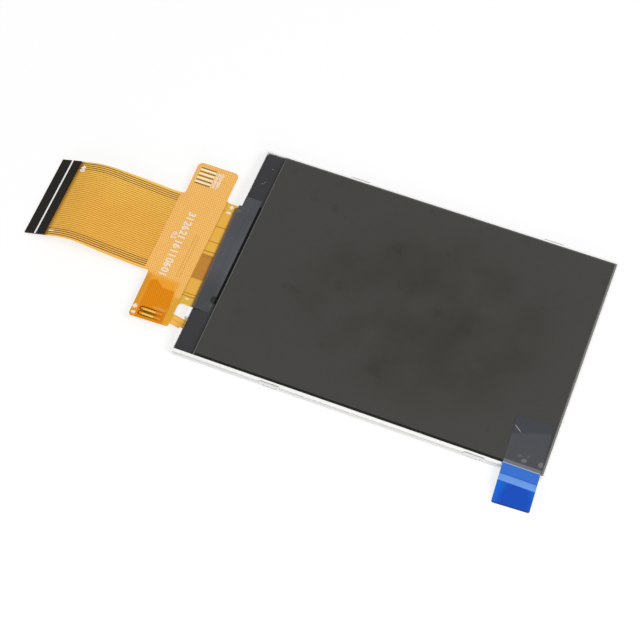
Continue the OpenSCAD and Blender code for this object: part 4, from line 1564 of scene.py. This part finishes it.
@dataclass
class Circuit:
    """The amber circuit: its flat sheet, and the tail with all that is laid on it."""

    flat_z: float = 1.72 * MM
    thickness: float = 0.12 * MM
    bar_x: float = -44.2 * MM
    bar_far_x: float = -53.9 * MM
    bar_near_x: float = -52.8 * MM
    bar_far: float = 18.9 * MM
    bar_near: float = -22.3 * MM
    bar_skew: float = 0.3 * MM
    bar_step: float = 0.45 * MM
    bar_round: float = 1.1 * MM
    near_round: float = 0.66 * MM
    step_round: float = 0.55 * MM
    inner_round: float = 0.9 * MM
    root_round: float = 0.6 * MM
    neck_x: float = -39.2 * MM
    neck_near: float = -16.05 * MM
    neck_round: float = 0.2 * MM
    root_x: float = -52.15 * MM
    tail_y: float = -0.5 * MM
    tail_turn: float = 0.9
    tail_flare: float = 0.25 * MM
    tail_cells: tuple[int, int] = (2, 240)
    flare: Pair = mm(10.3, 20.0)
    root_length: float = 2.4 * MM
    climb: float = 7.5
    climb_round: float = 25 * MM
    climb_length: float = 11.5 * MM
    crest_round: float = 14 * MM
    descent: float = 20.0
    finger_thickness: float = 0.03 * MM
    tip_gap: float = 0.03 * MM
    pins: int = 40
    pitch: float = 0.5 * MM
    wide_each_side: int = 4
    fine_width: float = 0.2 * MM
    wide_width: float = 0.22 * MM
    track_sunk: float = 0.01 * MM
    track_lead: float = 0.2 * MM
    track_gap: float = 0.15 * MM
    track_cells: tuple[int, int] = (1, 90)
    stiffener_length: float = 5.1 * MM
    stiffener_thickness: float = 0.18 * MM
    stiffener_line: Pair = mm(3.02, 2.6)
    pin_size: float = 1.75 * MM
    pin_back: float = 1.3 * MM
    pin_numbers: tuple[tuple[str, float], ...] = (("40", 8.35 * MM), ("1", -8.9 * MM))
    pads: int = 4
    pad_width: float = 0.5 * MM
    pad_track_width: float = 0.34 * MM
    pad_track_round: float = 0.153 * MM
    pad_track_shift: float = 0.12 * MM
    slot_right: float = -45.7 * MM
    slot_length: float = 5.2 * MM
    slot_width: float = 0.65 * MM
    slot_edge: float = 0.22 * MM
    slot_places: Pair = mm(-21.3, -20.15)
    bead_half: Pair = mm(1.4, 0.26)
    bead_rise: float = 0.19 * MM
    bead_sunk: float = 0.004 * MM
    bead_inset: float = 0.55 * MM
    bead_waist: float = 0.35
    bead_ripple: float = 0.15
    bead_ripples: float = 5
    bead_cells: tuple[int, int] = (48, 16)

    def __post_init__(self) -> None:
        """Works out the tail's path, whose last stretch ends just above the surface."""
        self.top = self.flat_z + self.thickness
        self.tail_half = self.pitch * (self.pins + 1) / 2
        self.body_half = self.tail_half + self.tail_flare
        climb, fall = math.radians(self.climb), math.radians(self.climb + self.descent)
        start = (
            (self.root_length, 0.0),
            (self.climb_round * climb, self.climb),
            (self.climb_length, 0.0),
            (self.crest_round * fall, -self.climb - self.descent),
        )
        origin = (self.root_x, self.tail_y, self.flat_z)
        heading = 180 + self.tail_turn
        begun = Ribbon(origin, heading, start)
        _, height, _ = begun.walk(np.array([begun.length()]))
        slope = math.radians(self.descent)
        under = self.finger_thickness * math.cos(slope) + self.tip_gap
        drop = self.flat_z + float(height[0]) - under
        self.tail = Ribbon(origin, heading, (*start, (drop / math.sin(slope), 0.0)))

    def root_corner(self, across: float) -> tuple[float, float, float]:
        """A corner of the flat sheet where the tail starts to bend.

        Args:
            across: its distance from the tail's middle.

        Returns:
            Its X, its Y and no radius.
        """
        x, y, _ = self.tail.place(np.array(self.root_length), np.array(across), 0.0)
        return float(x), float(y), 0.0

    def bar_edge(self, y: float) -> float:
        """The X of the cross bar's slanted outer edge at a Y."""
        share = (y - self.bar_near) / (self.bar_far - self.bar_near)
        return self.bar_near_x + (self.bar_far_x - self.bar_near_x) * share

    def slot_loop(self, y: float, grow: float = 0.0) -> np.ndarray:
        """The outline of a solder slot.

        Args:
            y: its middle.
            grow: how much larger than the slot it is on every side.

        Returns:
            The outline, anticlockwise.
        """
        half = self.slot_width / 2 + grow
        sides = (self.slot_right - self.slot_length - grow, self.slot_right + grow)
        return box_loop(sides, (y - half, y + half), half * FULL_ROUND)

    def build(self) -> None:
        """Makes every piece of the circuit."""
        self.build_sheet()
        self.build_tail()
        self.build_tracks()
        self.build_stiffener()
        for text, across in self.pin_numbers:
            self.build_pin_number(text, across)
        self.build_pads()
        self.build_solder()
        dress_nodes({"lamp_flex": Dress.LEAD, "contact_fingers": Dress.GOLD})

    def build_sheet(self) -> None:
        """The neck and the cross bar: a flat sheet with rounded corners and two slots."""
        near_y, far_y = self.tail_y - self.body_half, self.tail_y + self.body_half
        step_x = self.bar_x + self.bar_step
        outline = rounded([
            (self.neck_x, self.neck_near, self.neck_round),
            (self.neck_x, NECK_FAR, self.neck_round),
            (self.bar_x, NECK_FAR, self.inner_round),
            (self.bar_x, self.bar_far, self.bar_round),
            (self.bar_far_x, self.bar_far, self.bar_round),
            (self.bar_edge(far_y), far_y, self.root_round),
            self.root_corner(self.body_half),
            self.root_corner(-self.body_half),
            (self.bar_edge(near_y), near_y, self.root_round),
            (self.bar_near_x, self.bar_near - self.bar_skew, self.near_round),
            (step_x, self.bar_near, self.step_round),
            (step_x, self.neck_near, self.inner_round),
        ])
        holes = [self.slot_loop(y)[::-1] for y in self.slot_places]
        mesh = plate([outline, *holes], self.flat_z, self.top)
        make("flex_sheet", mesh, Dress.SHEET, ("main_flex",))

    def build_tail(self) -> None:
        """The tail as one smooth strip. Its half width shrinks evenly in plan from the cross bar's
        side to the end's."""
        along = np.linspace(self.root_length, self.tail.length(), self.tail_cells[1] + 1)[None, :]
        reach, _, _ = self.tail.walk(along)
        begin, finish = self.flare
        half = self.body_half - self.tail_flare * np.clip((reach - begin) / (finish - begin), 0, 1)
        across = np.linspace(-1, 1, self.tail_cells[0] + 1)[:, None] * half
        grids = (self.tail.place(along, across, lift) for lift in (self.thickness, 0.0))
        tail = make("flex_tail", slab(*grids), Dress.TAIL, ("main_flex",))
        set_surface(tail, along, across)

    def build_tracks(self) -> None:
        """The tracks as ribs on the tail: fine ones, and a few wide ones beside each edge."""
        pins = np.arange(self.pins)
        places = (pins - (self.pins - 1) / 2) * self.pitch
        outer = np.minimum(pins, pins[::-1]) < self.wide_each_side
        end = self.tail.length() - self.stiffener_length
        span = (self.root_length - self.track_lead, end - self.track_gap)
        lift = (self.thickness - self.track_sunk, self.thickness + TRACK_LIFT)
        kinds = (
            ("fine_tracks", ~outer, self.fine_width, Dress.FINE_TRACK),
            ("wide_tracks", outer, self.wide_width, Dress.WIDE_TRACK),
        )
        for name, chosen, width, dress in kinds:
            sides = [(v - width / 2, v + width / 2) for v in places[chosen]]
            parts = [self.tail.strip(span, side, lift, self.track_cells) for side in sides]
            make(name, merged(parts), dress, ("copper_tracks",))

    def build_stiffener(self) -> None:
        """Dresses the stiffener and adds its white line."""
        dress_nodes({"tail_stiffener": Dress.STIFFENER})
        end = self.tail.length()
        top = self.thickness + self.stiffener_thickness
        span = (end - self.stiffener_line[0], end - self.stiffener_line[1])
        lift = (top, top + PRINT_DEPTH)
        mesh = self.tail.strip(span, (-self.tail_half, self.tail_half), lift, (1, 1))
        make("stiffener_line", mesh, Dress.INK)

    def build_pin_number(self, text: str, across: float) -> None:
        """Prints a number on the tail before its stiffener, with its digits side by side across it.

        Args:
            text: the number.
            across: the middle of the number across the tail.
        """
        distance = self.tail.length() - self.stiffener_length - self.pin_back

        def lay(flat: np.ndarray, lift: float) -> np.ndarray:
            """Puts flat points on the tail at a lift."""
            return self.tail.place(distance - flat[:, 1], across - flat[:, 0], lift)

        mesh = numeral(text, self.pin_size, lay, self.thickness + TRACK_LIFT)
        make(f"pin_number_{text}", mesh, Dress.INK)

    def build_pads(self) -> None:
        """Dresses the test pads and lays a dark track on each side of every pad. The two outer
        tracks lie a little closer to their pads."""
        dress_nodes({"test_pads": Dress.PAD})
        low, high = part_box("test_pads")
        pitch = (high[1] - low[1] - self.pad_width) / (self.pads - 1)
        half = self.pad_track_width / 2
        parts = []
        for i in range(self.pads + 1):
            y = low[1] + self.pad_width / 2 + (i - 0.5) * pitch
            y += self.pad_track_shift * ((i == 0) - (i == self.pads))
            loop = box_loop((low[0], high[0]), (y - half, y + half), self.pad_track_round)
            parts.append(plate([loop], self.top, self.top + PRINT_DEPTH))
        make("pad_tracks", merged(parts), Dress.DARK_PRINT)

    def build_solder(self) -> None:
        """A bead of solder in each slot: a dome whose height follows a fourth power along its
        length, with a slight ripple, and a circle across it. A dark edge rings each slot."""
        long, short = self.bead_half
        u = np.linspace(-1, 1, self.bead_cells[0] + 1)[:, None]
        v = np.linspace(-1, 1, self.bead_cells[1] + 1)[None, :]
        narrow = np.sqrt(np.clip(1 - u**4, 0, 1))
        ripple = 1 - self.bead_ripple + self.bead_ripple * np.cos(self.bead_ripples * u)
        dome = self.bead_rise * np.sqrt(np.clip(1 - v**2, 0, 1)) * narrow * ripple
        width = short * v * (self.bead_waist + (1 - self.bead_waist) * narrow)
        start = self.slot_right - self.slot_length + self.bead_inset
        x = np.broadcast_to(start + long * (1 + u), dome.shape)
        beads, edges = [], []
        for y in self.slot_places:
            top = np.stack([x, y + width, self.flat_z + dome], -1)
            base = np.stack([x, y + width, np.full_like(dome, self.flat_z - self.bead_sunk)], -1)
            beads.append(slab(top, base))
            loops = [self.slot_loop(y, self.slot_edge), self.slot_loop(y)[::-1]]
            edges.append(plate(loops, self.top, self.top + PRINT_DEPTH))
        make("solder_beads", merged(beads), Dress.SOLDER, ("solder_joints",))
        make("slot_edges", merged(edges), Dress.BURNT_EDGE)


@dataclass
class Print:
    """Plain numbers and marks on the circuit's flat sheet."""

    circuit: Circuit
    scale_size: float = 2.3 * MM
    scale_x: float = -50.0 * MM
    scale_pins: range = range(0, 31, 5)
    pad_size: float = 1.35 * MM
    pad_stretch: float = 1.35
    pad_numbers: range = range(37, 41)
    pad_first: Pair = mm(-48.15, 13.75)
    pad_pitch: float = 1.1 * MM
    pitch_text: str = "0.5"
    pitch_size: float = 1.5 * MM
    pitch_at: Pair = mm(-51.6, -0.9)
    pluses: tuple[tuple[float, ...], ...] = (
        mm(-52.3, -20.15, 1.1, 0.5),
        mm(-42.5, 10.15, 0.95, 0.42),
    )
    bars: tuple[tuple[float, ...], ...] = (
        mm(-52.5, -51.6, -21.95, -21.35),
        mm(-43.2, -42.1, 8.4, 8.95),
        mm(-42.95, -42.1, -14.78, -14.5),
    )
    traces: tuple[tuple[float, ...], ...] = (
        mm(-46.29, -46.21, -10.5, 1.1),
        mm(-46.99, -46.91, -10.5, 1.1),
    )

    def build(self) -> None:
        """Prints every number and mark: a scale of pins on the cross bar, the pads' numbers with
        the pitch of the pins, plus and minus signs, and two thin traces."""
        tail_y, pins, pitch = self.circuit.tail_y, self.circuit.pins, self.circuit.pitch
        first = tail_y - (pins - 1) / 2 * pitch
        places = [(f"{n + 1:02d}", (self.scale_x, first + n * pitch)) for n in self.scale_pins]
        scale = [self.flat_number(text, self.scale_size, place, -90) for text, place in places]
        make("pin_scale", merged(scale), Dress.WORN_INK)
        x, y = self.pad_first
        labels = [
            self.flat_number(str(n), self.pad_size, (x, y + i * self.pad_pitch), 0, self.pad_stretch)
            for i, n in enumerate(self.pad_numbers)
        ]
        labels.append(self.flat_number(self.pitch_text, self.pitch_size, self.pitch_at, -90))
        make("pad_numbers", merged(labels), Dress.WORN_INK)
        marks = [self.plus(*sides) for sides in self.pluses] + [self.bar(*sides) for sides in self.bars]
        make("white_marks", merged(marks), Dress.WORN_INK)
        make("dark_traces", merged([self.bar(*sides) for sides in self.traces]), Dress.FINE_TRACK)

    def flat_number(
        self, text: str, size: float, place: Pair, turn: float, stretch: float = 1.0
    ) -> Mesh:
        """A number on the flat sheet.

        Args:
            text: the number.
            size: the height of its type.
            place: the X and Y of its middle.
            turn: the way in which it reads, in degrees from +X.
            stretch: how much wider than usual the type is.

        Returns:
            The points and the faces.
        """
        cos, sin = math.cos(math.radians(turn)), math.sin(math.radians(turn))

        def lay(flat: np.ndarray, lift: float) -> np.ndarray:
            """Turns flat points and puts them on the sheet.

            Args:
                flat: the points.
                lift: their height.

            Returns:
                The points in the module's frame.
            """
            right, up = flat[:, 0], flat[:, 1]
            x = place[0] + right * cos - up * sin
            y = place[1] + right * sin + up * cos
            return np.stack([x, y, np.full(len(flat), lift)], -1)

        return numeral(text, size, lay, self.circuit.top, stretch)

    def on_sheet(self, loop: np.ndarray) -> Mesh:
        """A printed shape on the flat sheet, from its outline."""
        return plate([loop], self.circuit.top, self.circuit.top + PRINT_DEPTH)

    def bar(self, left: float, right: float, near: float, far: float) -> Mesh:
        """A printed rectangle on the flat sheet, from its sides."""
        return self.on_sheet(box_loop((left, right), (near, far)))

    def plus(self, x: float, y: float, span: float, width: float) -> Mesh:
        """A printed plus sign on the flat sheet: three corners, turned a quarter four times.

        Args:
            x, y: its middle.
            span: its length and height.
            width: the width of its strokes.

        Returns:
            The points and the faces.
        """
        a, b = span / 2, width / 2
        quarter = np.array([(a, -b), (a, b), (b, b)])
        turns = [np.array([(c, s), (-s, c)]) for c, s in ((1, 0), (0, 1), (-1, 0), (0, -1))]
        return self.on_sheet(np.concatenate([quarter @ turn for turn in turns]) + (x, y))


@dataclass
class PullTab:
    """The blue tab: one film stuck to the display, then straight out, round a bend and down."""

    middle_x: float = 36.37 * MM
    stuck: float = 10.7 * MM
    out: float = 3.6 * MM
    bend_round: float = 2.6 * MM
    slope: float = 29.0
    width: float = 8.0 * MM
    thickness: float = 0.05 * MM
    clearance: float = 0.008 * MM
    turn: float = 2.8
    tip_gap: float = 0.03 * MM
    corner: float = 0.4 * MM
    end_corner: float = 0.6 * MM
    corner_cells: int = 90
    cells: tuple[int, int] = (32, 219)

    def path(self) -> Ribbon:
        """Works out the tab's path from the display's film down to the surface.

        Returns:
            The ribbon.
        """
        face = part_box("cover_film")[1][2] + self.clearance
        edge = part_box("front_polarizer")[0][1]
        turn = math.radians(90 + self.turn)
        x = self.middle_x + self.stuck * math.cos(turn)
        start = (x, edge + self.stuck * math.sin(turn), face)
        heading = 270 + self.turn
        bend = self.bend_round * math.radians(self.slope)
        steps = ((self.stuck + self.out, 0.0), (bend, -self.slope))
        begun = Ribbon(start, heading, steps)
        _, height, _ = begun.walk(np.array([begun.length()]))
        fall = (face + float(height[0]) - self.tip_gap) / math.sin(math.radians(self.slope))
        return Ribbon(start, heading, (*steps, (fall, 0.0)))

    def build(self) -> None:
        """Makes the tab. Its half width shrinks at both ends as a quarter circle does: half less
        radius plus the root of radius squared less the square of the distance into the corner."""
        path = self.path()
        end = path.length()
        bend = np.arange(self.corner_cells + 1) / self.corner_cells * math.pi / 2
        run = np.unique(np.concatenate([
            self.end_corner * (1 - np.cos(bend)),
            np.linspace(self.end_corner, end - self.corner, self.cells[1] + 1),
            end - self.corner * (1 - np.cos(bend[::-1])),
        ]))[None, :]
        lead = np.clip(self.end_corner - run, 0, None)
        tail = np.clip(run - end + self.corner, 0, None)
        shrink = self.end_corner - np.sqrt(np.clip(self.end_corner**2 - lead**2, 0, None))
        shrink += self.corner - np.sqrt(np.clip(self.corner**2 - tail**2, 0, None))
        side = np.linspace(-1, 1, self.cells[0] + 1)[:, None] * (self.width / 2 - shrink)
        top, low = (path.place(run, side, lift) for lift in (self.thickness, 0.0))
        tab = make("blue_tab", slab(top, low), Dress.BLUE, ("pull_tab",))
        set_surface(tab, end - run, side)


# ---------------------------------------------------------------- the studio


@dataclass
class Lamp:
    """A square softbox that faces the module."""

    name: str
    place: tuple[float, float, float]
    side: float
    power: float

    def build(self, aim: Vector) -> None:
        """Hangs the softbox.

        Args:
            aim: the point that it faces.
        """
        light = bpy.data.lights.new(self.name, "AREA")
        light.shape = "SQUARE"
        light.size = self.side
        light.energy = self.power
        holder = bpy.data.objects.new(self.name, light)
        holder.location = self.place
        holder.rotation_euler = (aim - Vector(self.place)).to_track_quat("-Z", "Y").to_euler()
        bpy.context.scene.collection.objects.link(holder)


@dataclass
class Studio:
    """The pale floor, the white surroundings, the softboxes and the camera."""

    aim: tuple[float, float, float] = mm(-14.34, -8.66, 0.80)
    azimuth: float = 21.16
    elevation: float = 61.08
    distance: float = 360.97 * MM
    lens: float = 95.2
    sensor: float = 36.0
    clip: Pair = (0.01, 10.0)
    floor_side: float = 3.0
    floor_drop: float = 0.002 * MM
    floor_colour: Colour = (0.26, 0.26, 0.26)
    floor_glow: float = 0.74
    ambient: float = 0.66
    ceiling: float = 0.3
    white: float = 1.0
    lamps: tuple[Lamp, ...] = (
        Lamp("softbox_right", (0.45, -0.05, 0.55), 0.3, 2.15),
        Lamp("softbox_side", (-0.75, -0.15, 0.6), 0.4, 1.4),
        Lamp("softbox_front", (0.30, -0.62, 0.27), 0.35, 1.7),
    )

    def build(self) -> None:
        """Sets up the whole studio."""
        aim = Vector(self.aim)
        for lamp in self.lamps:
            lamp.build(aim)
        self.build_floor()
        self.build_world()
        self.build_camera(aim)
        bpy.context.scene.view_settings.view_transform = "Standard"

    def build_floor(self) -> None:
        """A pale floor just below the module, which keeps the shadow and glows up to white."""
        half = self.floor_side / 2
        data = bpy.data.meshes.new("floor")
        corners = [(-half, -half), (half, -half), (half, half), (-half, half)]
        data.from_pydata([(x, y, -self.floor_drop) for x, y in corners], [], [(0, 1, 2, 3)])
        floor = bpy.data.objects.new("floor", data)
        bpy.context.scene.collection.objects.link(floor)
        material = bpy.data.materials.new("studio_floor")
        laid = Nodes(material)
        diffuse = laid.add("BsdfDiffuse", {"Color": self.floor_colour})
        seen = laid.seen("Is Glossy Ray", "Is Transmission Ray", "Is Diffuse Ray")
        glow = laid.add("Emission", {"Strength": laid.maths("MULTIPLY", seen, self.floor_glow)})
        both = laid.add("AddShader", {0: diffuse.outputs[0], 1: glow.outputs[0]})
        laid.add("OutputMaterial", {"Surface": both.outputs[0]})
        data.materials.append(material)

    def build_world(self) -> None:
        """White surroundings that light the module at a plain level. Glossy rays see a darker
        ceiling, and rays through the films and from the camera see white."""
        world = bpy.data.worlds.new("white_room")
        bpy.context.scene.world = world
        laid = Nodes(world)
        gloss = laid.add("LightPath", {}).outputs["Is Glossy Ray"]
        through = laid.seen("Is Transmission Ray")
        level: Value = self.ambient
        for rays, target in ((gloss, self.ceiling), (through, self.white)):
            ends = {"Value": rays, "To Min": level, "To Max": target}
            level = laid.add("MapRange", ends).outputs[0]
        background = laid.add("Background", {"Strength": level})
        laid.add("OutputWorld", {"Surface": background.outputs[0]})

    def build_camera(self, aim: Vector) -> None:
        """Places the camera on its azimuth and elevation.

        Args:
            aim: the point that it looks at.
        """
        a, e = math.radians(self.azimuth), math.radians(self.elevation)
        back = Vector((math.sin(a) * math.cos(e), -math.cos(a) * math.cos(e), math.sin(e)))
        data = bpy.data.cameras.new("camera")
        data.lens = self.lens
        data.sensor_width = self.sensor
        data.clip_start, data.clip_end = self.clip
        camera = bpy.data.objects.new("camera", data)
        camera.location = aim + back * self.distance
        camera.rotation_euler = (-back).to_track_quat("-Z", "Y").to_euler()
        bpy.context.scene.collection.objects.link(camera)
        bpy.context.scene.camera = camera


def main() -> None:
    """Builds the module's parts in order, then the studio."""
    logging.basicConfig(level=logging.INFO, format="%(message)s")
    Housing().build()
    Panel().build()
    circuit = Circuit()
    circuit.build()
    Print(circuit).build()
    Tape().build()
    PullTab().build()
    Studio().build()


if __name__ == "__main__":
    main()
